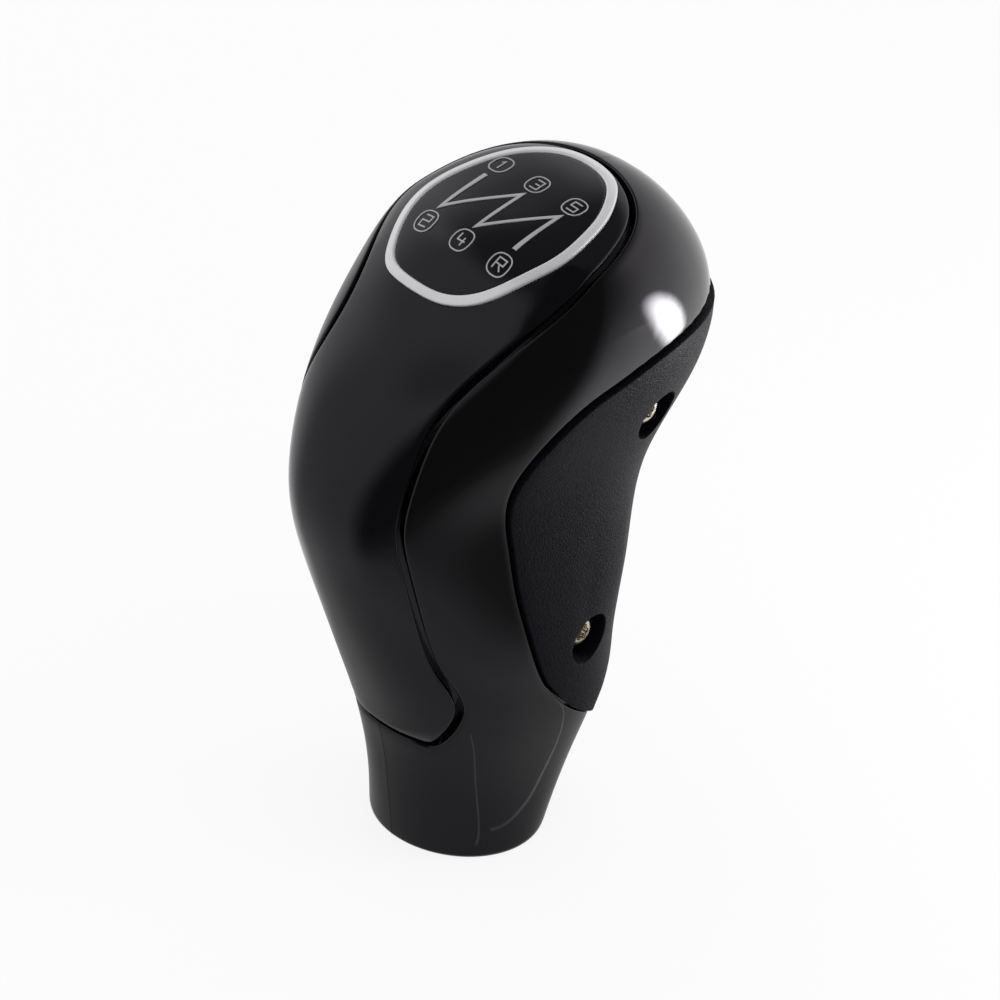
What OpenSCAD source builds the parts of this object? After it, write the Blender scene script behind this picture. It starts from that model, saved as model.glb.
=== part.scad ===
// Gear shift knob in twelve pieces: two moulded housing halves, a glossy front cover,
// a grip let into the back, a badge on the crown, screws, and the lever adapter inside.
// Millimetres. The origin is the centre of the collar's bottom rim, +Z up the lever,
// +X to the right, -Y to the front, where the cover faces.

/* [Body] */
// Height of the body, from the collar rim to the tip of the crown before it leans
body_h = 114; // [95:1:140]
// Radius of the collar rim
rim_r = 14.5; // [12.5:0.5:18]
// Share of the height where the crown starts to close
shoulder = 0.751; // [0.65:0.001:0.8]
// Fullness of the crown, 2 is an ellipse
crown_fullness = 3.5; // [2:0.1:5]
// Lean of the crown towards the back, in degrees
lean = 16.2; // [0:0.1:20]
// Shift of the crown's middle towards the front
spine_shift = 5.5; // [0:0.5:8]

/* [Sections] */
// Front reach, rear reach, half width and squareness, station 1 above the rim
section_1 = [17, 21, 13.5, 2.1]; // [2:0.1:60]
// Station 2
section_2 = [20, 25, 15.5, 2.35]; // [2:0.1:60]
// Station 3
section_3 = [26, 22.5, 17, 2.3]; // [2:0.1:60]
// Station 4, the waist
section_4 = [32, 20.5, 17, 2.25]; // [2:0.1:60]
// Station 5
section_5 = [38, 21.5, 17, 2.25]; // [2:0.1:60]
// Station 6, the nose of the cover
section_6 = [42.5, 25, 17.5, 2.3]; // [2:0.1:60]
// Station 7
section_7 = [38.5, 31.5, 21, 2.5]; // [2:0.1:60]
// Station 8, the bulge of the grip
section_8 = [30.2, 33.9, 23.8, 2.4]; // [2:0.1:60]
// Station 9
section_9 = [20.4, 23.6, 24.6, 2.2]; // [2:0.1:60]
// Station 10, above the crown
section_10 = [27.8, 22.4, 24.9, 2.1]; // [2:0.1:60]

/* [Split lines] */
// Wall of the housing halves
shell_wall = 2.2; // [1.6:0.1:3]
// Wall of the front cover
cover_wall = 2.1; // [1.5:0.1:3]
// Thickness of the grip below the body's surface
grip_wall = 2.1; // [1.5:0.1:3]
// How far the grip stands proud of the body's surface
grip_proud = 0.7; // [0:0.1:1.5]
// Open joint between the cover and the housing
cover_gap = 0.9; // [0.4:0.1:1.5]
// Open joint between the grip and the housing
grip_gap = 0.4; // [0.2:0.1:1]
// How much wider the joint opens at the cover's lower corners
corner_open = 1.2; // [0:0.1:2]
// How much wider the joint opens above the grip at the back
back_open = 0.9; // [0:0.1:1.5]
// How far the grip's back face swells out behind its upright edges
back_swell = 1.2; // [0:0.1:2]
// Joint between the two housing halves
seam = 0.1; // [0.05:0.05:0.3]

/* [Badge] */
// Half width of the badge
badge_x = 15.1; // [10:0.1:18]
// Half length of the badge
badge_y = 17.5; // [12:0.1:20]
// Distance of the badge's middle in front of the lever axis
badge_front = 7; // [0:0.5:10]
// Slope of the badge down to the front, in degrees
badge_slope = 24; // [10:1:35]
// Width of the bright frame
ring_w = 1.5; // [1:0.1:3]
// How far the frame stands above the cover
ring_proud = 0.7; // [0.5:0.1:1.5]
// Distance between the columns of the gate
gate_x = 8; // [5:0.1:10]
// Half width of the small frame round each position
frame_x = 1.85; // [1:0.05:3]
// Half height of the small frame round each position
frame_y = 1.95; // [1.5:0.05:3.5]

/* [Screws] */
// Rise of the lower screw above the grip's lower end
screw_low_rise = 23.4; // [20:0.2:30]
// Drop of the upper screw below the grip's upper end
screw_high_drop = 14.4; // [10:0.2:20]
// Distance of the lower screw behind the lever axis
screw_low_y = 7.8; // [4:0.2:12]
// Distance of the upper screw behind the lever axis
screw_high_y = 13.1; // [8:0.2:18]
// Depth of the head's seat under the body's surface
screw_seat = 3.4; // [2.5:0.1:5]
// Head diameter
head_d = 5.4; // [4:0.1:7]
// Head height
head_h = 2; // [1.2:0.1:3]
// Shank diameter
shank_d = 3; // [2:0.1:4]
// Length below the head
shank_l = 20; // [14:1:26]
// Diameter of the sunk round pocket over each head
sink_d = 7.8; // [6.5:0.1:9]

/* [Lever adapter] */
// Outer radius of the plastic tube
core_r = 10.2; // [9:0.1:11]
// Clearance between the plastic tube's top and the lower screw boss
core_clear = 2; // [1:0.5:4]
// Outer radius of the brass bush
bush_r = 7.5; // [6.5:0.1:8.5]
// Length of the brass bush
bush_l = 24; // [16:1:26]
// Radius of the threaded hole, minor diameter of an M12 by 1.75 thread
thread_r = 5.1; // [3.5:0.05:6]

/* [Hidden] */
$fn = 48;

// Heights measured in the body's own unit
station_pitch = body_h / 9.5;
shoulder_h = shoulder * body_h;
lean_from = 0.737 * body_h;
lean_span = 0.281 * body_h;
spine_from = 0.351 * body_h;
spine_span = 0.667 * body_h;
stations = [
  [rim_r, rim_r, rim_r, 2], section_1, section_2, section_3, section_4, section_5,
  section_6, section_7, section_8, section_9, section_10
];

// Half outline of the cover, share of the body's height in per cent and angle round the
// body, 0 at the front and 180 at the back
cover_edge = [
  [22, 0], [22, 27.7], [20.7, 36], [28.9, 57], [35.3, 41.7], [46.7, 41], [54.3, 41], [61.5, 39],
  [68.9, 38], [76.6, 33], [84.1, 30], [91.4, 42], [95.6, 67], [97.3, 95], [97.8, 123],
  [98.6, 152], [98.6, 180]
];
cover_turn_low = 2.45;
cover_turn_high = 11.2;

// Half outline of the grip from its lower end to its upper end, in the same measures
grip_edge = [
  [14.4, 180], [14.4, 150], [18.8, 120], [24.2, 97], [32, 85], [40.2, 79], [48.2, 75], [56.5, 74],
  [64.7, 71], [72.7, 76], [81.5, 89], [83.2, 115], [83.1, 150], [83.1, 180]
];
grip_turn_low = 2.7;
grip_turn_high = 10;

// Half outline of the badge in its own plane, as shares of its half width and half length,
// from the back to the front
badge_edge = [
  [0, 1.07], [0.3, 1.07], [0.58, 0.96], [0.83, 0.68], [0.9, 0.33], [1, 0], [0.88, -0.37],
  [0.85, -0.72], [0.68, -0.83], [0.32, -0.97], [0, -0.97]
];

bed = 0.25;
draft = 0.15;
round_r = 0.4;
turn_step = 0.08;
cover_bed = cover_wall + bed;
grip_bed = grip_wall + bed;

function mix(a, b, w) = a + (b - a) * w;
function clamp(v, low, high) = min(max(v, low), high);
function smooth(q) = let (c = clamp(q, 0, 1)) c * c * (3 - 2 * c);
function unit(v) = v / norm(v);

// Uniform cubic spline through a list of control points, straight at both ends
function knot(list, i) =
  i < 0 ? 2 * list[0] - list[1]
  : i >= len(list) ? 2 * list[len(list) - 1] - list[len(list) - 2]
  : list[i];
function spline(list, t) =
  let (i = clamp(floor(t), 0, len(list) - 2), f = t - i)
  (pow(1 - f, 3) * knot(list, i - 1)
    + (3 * f * f * f - 6 * f * f + 4) * knot(list, i)
    + (-3 * f * f * f + 3 * f * f + 3 * f + 1) * knot(list, i + 1)
    + f * f * f * knot(list, i + 2)) / 6;

// Share of the full section that is left in the crown, and its inverse
function dome(h) =
  h <= shoulder_h ? 1
  : pow(1 - pow(min((h - shoulder_h) / (body_h - shoulder_h), 1), crown_fullness), 1 / crown_fullness);
function dome_h(m) =
  shoulder_h + (body_h - shoulder_h) * pow(1 - pow(m, crown_fullness), 1 / crown_fullness);
function shift_at(h) = -spine_shift * smooth((h - spine_from) / spine_span);
function lean_at(h) = lean * smooth((h - lean_from) / lean_span);
function signed_power(v, e) = sign(v) * pow(abs(v), e);

// Body surface at height h and angle u
function body(h, u) =
  let (k = spline(stations, max(h, 0) / station_pitch),
    shift = shift_at(h),
    tilt = lean_at(h),
    m = dome(h),
    reach = cos(u) > 0 ? k[0] + shift : k[1] - shift,
    x = k[2] * m * signed_power(sin(u), 2 / k[3]),
    y = -reach * m * signed_power(cos(u), 2 / k[3]))
  [x, shift + y * cos(tilt), h + y * sin(tilt)];
function along_u(h, u) = body(h, u + 0.5) - body(h, u - 0.5);
function along_h(h, u) =
  let (e = min(0.2, (body_h - h) / 4))
  (body(h + e, u) - body(h - e, u)) / (2 * e);
function normal(h, u) = unit(cross(along_u(h, u), along_h(h, u)));

// Point at depth d below the surface, and the same at the tip of the crown
function skin(s) =
  let (p = body(s[0], s[1]) - s[2] * normal(s[0], s[1]))
  s[0] <= 0 ? [p[0], p[1], 0] : p;
function tip(d) =
  let (tilt = lean_at(body_h))
  [0, shift_at(body_h) + d * sin(tilt), body_h - d * cos(tilt)];

// Height and angle of a split line at parameter t, moved sideways by d
function scaled(p) = [p[0] * body_h / 100, p[1]];
function line_at(line, t, d) =
  let (last = len(line) - 1,
    s = scaled(spline(line, t)),
    t0 = max(t - 0.02, 0),
    t1 = min(t + 0.02, last),
    step = (scaled(spline(line, t1)) - scaled(spline(line, t0))) / (t1 - t0),
    ph = along_h(s[0], s[1]),
    pu = along_u(s[0], s[1]),
    n = unit(cross(pu, ph)),
    side = unit(cross(ph * step[0] + pu * step[1], n)) * d,
    ee = ph * ph,
    ff = ph * pu,
    gg = pu * pu,
    a = side * ph,
    b = side * pu,
    det = ee * gg - ff * ff)
  [s[0] + (a * gg - b * ff) / det, clamp(s[1] + (ee * b - ff * a) / det, 0, 180)];

// A spot is height, angle and depth. Towards the tip of the crown the rows close evenly.
function closing(s, f, even_u) = [dome_h(dome(s[0]) * f), mix(even_u, s[1], f), s[2]];

// Housing half: grid of rows up the body and columns from front to back, with the beds
// of the cover and of the grip stepped into it. Three rows or columns lie along each
// split line: the foot of the step, its lip and the start of the plain surface.
half_rows = 29;
half_cols = 20;
lip_offset = [cover_gap / 2, cover_gap / 2 + draft, cover_gap / 2 + draft + round_r];
lip_depth = [cover_bed, round_r, 0];
grip_offset = [grip_gap / 2, grip_gap / 2 + draft, grip_gap / 2 + draft + round_r];
grip_depth = [grip_bed, round_r, 0];
rim_rows = [0, 0.4, 1.2, 8];
rim_depth = [0.6, 0.15, 0, 0];
crest_h = 0.895 * body_h;
crest_step = 0.026 * body_h;
cover_end = len(cover_edge) - 1;
grip_end = len(grip_edge) - 1;

// Shares of the way from the grip's side line to the middle of the back. The third one is
// the upright edge between the grip's side face and its back face.
back_share = [0, 0.235, 0.47, 0.65, 0.82, 1];
back_edge = 2;

function climb_cover(j) = (min(j, 18) - 9 + clamp(j - 18, 0, 2) / 4 + max(j - 20, 0)) / 12.5;
function climb_grip(j) = (min(j, 7) - 6 + clamp(j - 7, 0, 2) / 4 + max(j - 9, 0)) / 10.5;
function on_cover_line(t, level, w) =
  concat(line_at(cover_edge, t, lip_offset[level] + w), lip_depth[level]);
function on_grip_line(t, level, w) =
  concat(line_at(grip_edge, t, -grip_offset[level] - w), grip_depth[level]);
function cover_side(j, k, w) =
  j < 9 ? on_cover_line(cover_turn_low + turn_step * (k + j - 9), max(9 - j, k), w)
  : j > 23 ? on_cover_line(cover_turn_high + turn_step * (k + j - 25), min(25 - j, k), w)
  : on_cover_line(
      mix(cover_turn_low + turn_step * k, cover_turn_high + turn_step * (k - 2), climb_cover(j)),
      k, w);
function grip_side(j, k, w) =
  j < 6 ? on_grip_line(grip_turn_low + turn_step * (k + j - 6), max(6 - j, k), w)
  : j > 18 ? on_grip_line(grip_turn_high + turn_step * (j - 18 - k), max(j - 18, k), w)
  : on_grip_line(
      mix(grip_turn_low + turn_step * k, grip_turn_high - turn_step * k, climb_grip(j)), k, w);
function cover_foot(j, i, w) =
  on_cover_line(mix(0, cover_turn_low - turn_step * (9 - j), i / 5), 9 - j, w);
function cover_back(j, i, w) =
  on_cover_line(mix(cover_turn_high + turn_step * (j - 23), cover_end, (i - 7) / 12), 25 - j, w);
function grip_foot(j, i, w) =
  on_grip_line(mix(grip_turn_low - turn_step * (6 - j), 0, (i - 14) / 5), 6 - j, w);
function grip_top(j, i, w) =
  on_grip_line(mix(grip_turn_high + turn_step * (j - 18), grip_end, (i - 14) / 5), j - 18, w);
function front_spot(j, w) =
  [j > 23 ? crest_h + (j - 23) * crest_step : mix(cover_foot(9, 0, w)[0], crest_h, climb_cover(j)),
    0, cover_bed];
function back_spot(j, w) =
  [mix(grip_foot(6, 19, w)[0], grip_top(18, 19, w)[0], climb_grip(j)), 180, grip_bed];
function half_spot(j, i, w) =
  j <= 3 ? [rim_rows[j], 180 * i / 19, w > 0 ? 0 : rim_depth[j]]
  : j > 25 ? closing(half_spot(25, i, w), (29 - j) / 4, 180 * i / 19)
  : i < 8 && j < 7 ? mix(half_spot(3, i, w), half_spot(7, i, w), (j - 3) / 4)
  : i < 5 ? (j < 10 ? cover_foot(j, i, w) : mix(front_spot(j, w), cover_side(j, 0, w), i / 5))
  : i < 8 ? cover_side(j, i - 5, w)
  : j > 22 ? cover_back(j, i, w)
  : i < 12 ? mix(half_spot(j, 7, w), half_spot(j, 12, w), (i - 7) / 5)
  : j > 20 ? mix(half_spot(20, i, w), half_spot(23, i, w), (j - 20) / 3)
  : i < 15 ? grip_side(j, 14 - i, w)
  : j < 7 ? grip_foot(j, i, w)
  : j > 17 ? grip_top(j, i, w)
  : mix(grip_side(j, 0, w), back_spot(j, w), back_share[i - 14]);
function half_point(j, i, w) =
  let (s = half_spot(j, i, w), p = skin([s[0], s[1], s[2] + w]))
  [i == 0 || i == half_cols - 1 ? seam / 2 : p[0], p[1], p[2]];

// Cover: the same kind of grid. Its front block reaches from the mid plane to the side
// edge, its cap goes all the way round the crown.
cover_rows = 20;
cover_half = 16;
cover_cols = 2 * cover_half;
edge_offset = [-cover_gap / 2, -cover_gap / 2 - round_r];
edge_depth = [round_r, 0];
corner_span = 1.3;
function corner_extra(t) = corner_open * smooth(1 - abs(t - cover_turn_low) / corner_span);
function on_cover_rim(t, level) =
  concat(line_at(cover_edge, t, edge_offset[level] - corner_extra(t)), edge_depth[level]);
function rim_side(j, k) =
  j < 1 ? on_cover_rim(cover_turn_low - turn_step * k, 0)
  : j > 15 ? on_cover_rim(cover_turn_high + turn_step * (1 - k), 1)
  : on_cover_rim(
      mix(cover_turn_low + turn_step * (1 - k), cover_turn_high - turn_step * k, climb_cover(j + 8)),
      k);
function rim_foot(j, i) =
  on_cover_rim(mix(0, cover_turn_low + turn_step * (j - 1), i / 5), j);
function rim_back(j, i) =
  on_cover_rim(mix(cover_turn_high + turn_step * (j - 15), cover_end, (i - 6) / 10), j - 15);
function rim_front(j) =
  [j > 15 ? crest_h + (j - 15) * crest_step : mix(rim_foot(1, 0)[0], crest_h, climb_cover(j + 8)),
    0, 0];
function cover_spot(j, i) =
  j > 16 ? closing(cover_spot(16, i), (20 - j) / 4, 180 * i / cover_half)
  : i > 6 ? rim_back(max(j, 15), i)
  : i > 4 ? rim_side(j, 6 - i)
  : j < 2 ? rim_foot(j, i)
  : mix(rim_front(j), rim_side(j, 1), i / 5);
function mirrored(p, flip) = flip ? [-p[0], p[1], p[2]] : p;
function cover_point(j, i, inner) =
  let (flip = i > cover_half,
    s = cover_spot(j, flip ? cover_cols - i : i),
    p = skin([s[0], s[1], inner ? cover_wall : s[2]]))
  mirrored(i == 0 || i == cover_half ? [0, p[1], p[2]] : p, flip);

// Grip: rows from its lower to its upper end, columns round the back
grip_rows = 15;
grip_half = 6;
grip_cols = 2 * grip_half + 1;
pad_offset = [grip_gap / 2, grip_gap / 2 + round_r * 1.5];
pad_depth = [-grip_proud + round_r * 1.5, -grip_proud];
swell_h = 0.45;
swell_span = 0.165;
function back_extra(t) = back_open * smooth((t - grip_turn_high - 0.6) / 1.6);
function on_grip_rim(t, level) =
  concat(line_at(grip_edge, t, pad_offset[level] + back_extra(t)), pad_depth[level]);
function pad_side(j, k) =
  j < 1 ? on_grip_rim(grip_turn_low - turn_step * k, 0)
  : j > 13 ? on_grip_rim(grip_turn_high + turn_step * k, 0)
  : on_grip_rim(
      mix(grip_turn_low + turn_step * (1 - k), grip_turn_high - turn_step * (1 - k),
        climb_grip(j + 5)), k);
function pad_foot(j, i) =
  on_grip_rim(mix(grip_turn_low + turn_step * (j - 1), 0, (i - 1) / 5), j);
function pad_top(j, i) =
  on_grip_rim(mix(grip_turn_high + turn_step * (j - 13), grip_end, (i - 1) / 5), 14 - j);
function swell(s) =
  [s[0], s[1], s[2] - back_swell * smooth(1 - abs(s[0] / body_h - swell_h) / swell_span)];
function pad_middle(j, i) =
  mix(pad_side(j, 1),
    [mix(pad_foot(1, 6)[0], pad_top(13, 6)[0], climb_grip(j + 5)), 180, -grip_proud],
    back_share[i - 1]);
function grip_spot(j, i) =
  i < 2 ? pad_side(j, i)
  : j < 2 ? pad_foot(j, i)
  : j > 12 ? pad_top(j, i)
  : i > back_edge ? swell(pad_middle(j, i))
  : pad_middle(j, i);
function grip_point(j, i, inner) =
  let (flip = i > grip_half,
    s = grip_spot(j, flip ? grip_cols - 1 - i : i),
    p = skin([s[0], s[1], inner ? grip_wall : s[2]]))
  mirrored(i == grip_half ? [0, p[1], p[2]] : p, flip);

// The badge is laid out in a plane over the crown that slopes down to the front. Each
// point of it drops square to that plane until it meets the body's surface.
badge_middle = [0, -badge_front, 0.963 * body_h];
badge_right = [1, 0, 0];
badge_up = [0, cos(badge_slope), sin(badge_slope)];
badge_out = [0, -sin(badge_slope), cos(badge_slope)];
function over_badge(x, y, w) = badge_middle + x * badge_right + y * badge_up + w * badge_out;
function level_of(p, h, steps) =
  steps == 0 ? h
  : level_of(p, p[2] - (p[1] - shift_at(h)) * tan(lean_at(h)), steps - 1);
function fill_of(p) =
  let (h = min(level_of(p, p[2], 4), body_h * 1.04),
    k = spline(stations, h / station_pitch),
    along = (p[1] - shift_at(h)) / cos(lean_at(h)),
    reach = along < 0 ? k[0] + shift_at(h) : k[1] - shift_at(h),
    m = pow(pow(abs(p[0]) / k[2], k[3]) + pow(abs(along) / reach, k[3]), 1 / k[3]),
    rise = max(h - shoulder_h, 0) / (body_h - shoulder_h))
  pow(m, crown_fullness) + pow(rise, crown_fullness) - 1;
function drop_of(x, y, w, steps) =
  steps == 0 ? w
  : let (f = fill_of(over_badge(x, y, w)), slope = (fill_of(over_badge(x, y, w + 0.05)) - f) / 0.05)
    drop_of(x, y, w - clamp(f / max(slope, 0.01), -2, 2), steps - 1);
function crown_w(x, y) =
  drop_of(x, y, 0.035 * body_h - (x * x + y * y) / 60, 5);
function crown_point(x, y, lift) =
  let (e = 0.3,
    dx = (crown_w(x + e, y) - crown_w(x - e, y)) / (2 * e),
    dy = (crown_w(x, y + e) - crown_w(x, y - e)) / (2 * e))
  over_badge(x, y, crown_w(x, y))
    + lift * unit(badge_out - dx * badge_right - dy * badge_up);

// Badge outline in its plane, as a share of a full turn from the back
badge_steps = 36;
function badge_plan(q, inset) =
  let (last = len(badge_edge) - 1,
    flip = q > 0.5,
    p = spline(badge_edge, last * 2 * (flip ? 1 - q : q)))
  [(flip ? -1 : 1) * p[0] * (badge_x - inset), p[1] * (badge_y - inset)];
function badge_loop(inset, lift) =
  [for (i = [0 : badge_steps - 1])
    let (p = badge_plan(i / badge_steps, inset)) crown_point(p[0], p[1], lift)];
function quad(a, b, c, d) = [[a, b, c], [a, c, d]];

// Solid between an outer and an inner grid of points. Only the cells that has(j, i) names
// are filled, and the open sides are closed with walls. Two tips close the last row. From
// the column named middle on, the cells are cut along the other diagonal, as a mirror does.
module grid_solid(outer, inner, rows, cols, ring, tips, middle, has) {
  n = rows * cols;
  last = ring ? cols - 1 : cols - 2;
  filled = function (j, i)
    j >= 0 && j < rows - 1 && (ring || (i >= 0 && i <= last)) && has(j, (i + cols) % cols);
  cells = [
    for (j = [0 : rows - 2], i = [0 : last])
      if (filled(j, i))
        let (r = (i + 1) % cols, a = j * cols + i, b = j * cols + r, c = a + cols, d = b + cols)
        each concat(
          i < middle
            ? [[a, c, b], [b, c, d], [a + n, b + n, c + n], [b + n, d + n, c + n]]
            : [[a, c, d], [a, d, b], [a + n, d + n, c + n], [a + n, b + n, d + n]],
          filled(j - 1, i) ? [] : quad(a, b, b + n, a + n),
          filled(j + 1, i) || (len(tips) > 0 && j == rows - 2) ? [] : quad(c, c + n, d + n, d),
          filled(j, i - 1) ? [] : quad(a, a + n, c + n, c),
          filled(j, i + 1) ? [] : quad(b, d, d + n, b + n))
  ];
  closing_cells = len(tips) == 0 ? [] : [
    for (i = [0 : last])
      let (a = (rows - 1) * cols + i, b = (rows - 1) * cols + (i + 1) % cols)
      each concat(
        [[a, 2 * n, b], [a + n, b + n, 2 * n + 1]],
        ring || i > 0 ? [] : quad(a, a + n, 2 * n + 1, 2 * n),
        ring || i < last ? [] : quad(b, 2 * n, 2 * n + 1, b + n))
  ];
  polyhedron(points = concat(outer, inner, tips), faces = concat(cells, closing_cells));
}

// Solid patch over the crown: loops of points run from the middle underneath, out, up
// and back to the middle on top. A turned patch has its cells cut the other way.
module crown_patch(loops, low_tip, high_tip, turned = false) {
  n = len(loops[0]);
  m = len(loops);
  points = concat([for (loop = loops) each loop], [low_tip, high_tip]);
  faces = concat(
    [for (i = [0 : n - 1]) [(i + 1) % n, i, m * n]],
    [for (j = [0 : m - 2], i = [0 : n - 1])
      let (a = j * n + i, b = j * n + (i + 1) % n)
      each turned ? quad(b, b + n, a + n, a) : quad(a, b, b + n, a + n)],
    [for (i = [0 : n - 1]) [(m - 1) * n + i, (m - 1) * n + (i + 1) % n, m * n + 1]]);
  polyhedron(points = points, faces = faces);
}

// Closed band over the crown: loops of points go round its section
module crown_band(loops) {
  n = len(loops[0]);
  m = len(loops);
  points = [for (loop = loops) each loop];
  faces = [for (j = [0 : m - 1], i = [0 : n - 1])
    let (k = (j + 1) % m, r = (i + 1) % n)
    each quad(j * n + i, j * n + r, k * n + r, k * n + i)];
  polyhedron(points = points, faces = faces);
}

// Screw places: distance behind the lever axis, height, and the seat under the head
grip_low_h = grip_edge[0][0] * body_h / 100;
grip_high_h = grip_edge[grip_end][0] * body_h / 100;
screw_low_h = grip_low_h + screw_low_rise;
screw_high_h = grip_high_h - screw_high_drop;
function side_x(y, z) =
  let (k = spline(stations, z / station_pitch),
    shift = shift_at(z),
    reach = y > shift ? k[1] - shift : k[0] + shift)
  k[2] * pow(1 - pow(abs(y - shift) / reach, k[3]), 1 / k[3]);
function screw_place(y, z) = [y, z, side_x(y, z) - screw_seat];
screw_places = [screw_place(screw_low_y, screw_low_h), screw_place(screw_high_y, screw_high_h)];
boss_r = 4.3;
pilot_r = 1.25;
clear_r = 1.75;
boss_under = 0.8;
core_h = screw_low_h - boss_r - core_clear;

// Angle round the body at the screw, and a boss that ends inside the wall under the grip
function side_u(y, z) =
  let (k = spline(stations, z / station_pitch), shift = shift_at(z))
  acos(-pow((y - shift) / (k[1] - shift), k[3] / 2));
module screw_boss(place) difference() {
  on_screw(place) translate([0, 0, seam / 2]) cylinder(r = boss_r, h = place[2] + 2);
  on_spot(place[1], side_u(place[0], place[1]), grip_bed + boss_under)
    translate([-3 * boss_r, -3 * boss_r, 0]) cube([6 * boss_r, 6 * boss_r, 3 * boss_r]);
}

module on_screw(place) translate([0, place[0], place[1]]) rotate([0, 90, 0]) children();

module half_shell() grid_solid(
  [for (j = [0 : half_rows - 1], i = [0 : half_cols - 1]) half_point(j, i, 0)],
  [for (j = [0 : half_rows - 1], i = [0 : half_cols - 1]) half_point(j, i, shell_wall)],
  half_rows, half_cols, false,
  [tip(cover_bed) + [seam / 2, 0, 0], tip(cover_bed + shell_wall) + [seam / 2, 0, 0]],
  half_cols, function (j, i) true);

// Ring that holds the tube between its two lower flanges
seat_low = 4.4;
seat_thick = 1.4;
seat_high = 26.6;
seat_high_thick = 3.4;
seat_clear = 0.2;
web_thick = 1.6;
web_places = [[22, cover_bed], [70, 0], [140, grip_bed]];
module seat_ring(r, z, thick) translate([0, 0, z]) difference() {
  cylinder(r = r, h = thick);
  translate([0, 0, -1]) cylinder(r = core_r + seat_clear, h = thick + 2);
  translate([-2 * r + seam / 2, -r - 1, -1]) cube([2 * r, 2 * r + 2, thick + 2]);
}

// Upright web from the upper seat ring out into the wall
module web(place) {
  middle = skin([seat_high + seat_high_thick / 2, place[0], place[1] + shell_wall / 2]);
  wall = [for (h = [seat_high, seat_high + seat_high_thick])
    let (p = skin([h, place[0], place[1] + shell_wall / 2])) [norm([p[0], p[1]]), h]];
  rotate([0, 0, atan2(middle[1], middle[0])]) translate([0, web_thick / 2, 0]) rotate([90, 0, 0])
    linear_extrude(web_thick)
      polygon([[core_r + 1, seat_high], wall[0], wall[1], [core_r + 1, wall[1][1]]]);
}

// Frame that stands on a spot of the body, its Z outwards and its X round the body
module on_spot(h, u, depth) {
  z = normal(h, u);
  x = unit(along_u(h, u));
  y = cross(z, x);
  p = skin([h, u, depth]);
  multmatrix([
    [x[0], y[0], z[0], p[0]], [x[1], y[1], z[1], p[1]], [x[2], y[2], z[2], p[2]], [0, 0, 0, 1]
  ]) children();
}

// Snap hooks under the cover, and the slots they reach through
hook_heights = [0.34, 0.56, 0.78];
hook_u = 20;
hook_w = 5;
hook_t = 1.4;
hook_reach = cover_wall / 2 + bed + shell_wall + 1.3;
module hook() {
  translate([-hook_w / 2, -hook_t / 2, cover_wall / 2 - hook_reach]) cube([hook_w, hook_t, hook_reach]);
  translate([-hook_w / 2, 0, 0]) rotate([90, 0, 90])
    linear_extrude(hook_w) polygon([
      [0, cover_wall / 2 - hook_reach],
      [hook_t / 2 + 0.2, cover_wall / 2 - hook_reach],
      [hook_t / 2 + 0.7, cover_wall / 2 - hook_reach + 0.5],
      [hook_t / 2 + 0.7, cover_wall / 2 - hook_reach + 0.9],
      [0, cover_wall / 2 - hook_reach + 0.9]
    ]);
}
module hook_slot() translate([-hook_w / 2 - 0.3, -hook_t / 2 - 0.3, -shell_wall - 1])
  cube([hook_w + 0.6, hook_t + 1.3, shell_wall + 2]);

module half_with_inside() {
  difference() {
    half_shell();
    for (share = hook_heights) on_spot(share * body_h, hook_u, cover_bed) hook_slot();
  }
  seat_ring(rim_r - shell_wall / 2, seat_low, seat_thick);
  seat_ring(core_r + 2, seat_high, seat_high_thick);
  for (place = web_places) web(place);
}

// Right half: the screws go in from its side
module housing_right() color("#101012") difference() {
  union() {
    half_with_inside();
    for (place = screw_places) screw_boss(place);
  }
  for (place = screw_places) on_screw(place) {
    translate([0, 0, place[2]]) cylinder(d = sink_d, h = 14);
    translate([0, 0, -1]) cylinder(r = clear_r, h = place[2] + 2);
  }
}

// Left half: the screws bite into its bosses
module housing_left() color("#131315") mirror([1, 0, 0]) difference() {
  union() {
    half_with_inside();
    for (place = screw_places) screw_boss(place);
  }
  for (place = screw_places) on_screw(place)
    translate([0, 0, -1]) cylinder(r = pilot_r, h = place[2] - 2);
}

// One piece from the lower front, over the crown, to the back, with the badge's pocket
pocket_depth = 1;
pocket_gap = 0.15;
pad_inset = 0.6;
module front_cover() color("#0c0c0e") {
  difference() {
    grid_solid(
      [for (j = [0 : cover_rows - 1], i = [0 : cover_cols - 1]) cover_point(j, i, false)],
      [for (j = [0 : cover_rows - 1], i = [0 : cover_cols - 1]) cover_point(j, i, true)],
      cover_rows, cover_cols, true, [tip(0), tip(cover_wall)], cover_half,
      function (j, i) j > 14 || i < 6 || i >= cover_cols - 6);
    crown_patch(
      [
        badge_loop(badge_x / 2, -pocket_depth), badge_loop(pad_inset, -pocket_depth),
        badge_loop(-pocket_gap, -pocket_depth), badge_loop(-pocket_gap, 2), badge_loop(badge_x / 2, 2)
      ],
      crown_point(0, 0, -pocket_depth), crown_point(0, 0, 2), true);
  }
  for (share = hook_heights, flip = [0, 1]) mirror([flip, 0, 0])
    on_spot(share * body_h, hook_u, cover_wall / 2) translate([0, 0, -cover_wall / 2]) hook();
}

// Grained pad let into the back
module rear_grip() color("#1a1a1b") difference() {
  grid_solid(
    [for (j = [0 : grip_rows - 1], i = [0 : grip_cols - 1]) grip_point(j, i, false)],
    [for (j = [0 : grip_rows - 1], i = [0 : grip_cols - 1]) grip_point(j, i, true)],
    grip_rows, grip_cols, false, [], grip_half, function (j, i) true);
  for (place = screw_places) on_screw(place)
    translate([0, 0, place[2] - 2]) cylinder(d = sink_d, h = 20);
}

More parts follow.
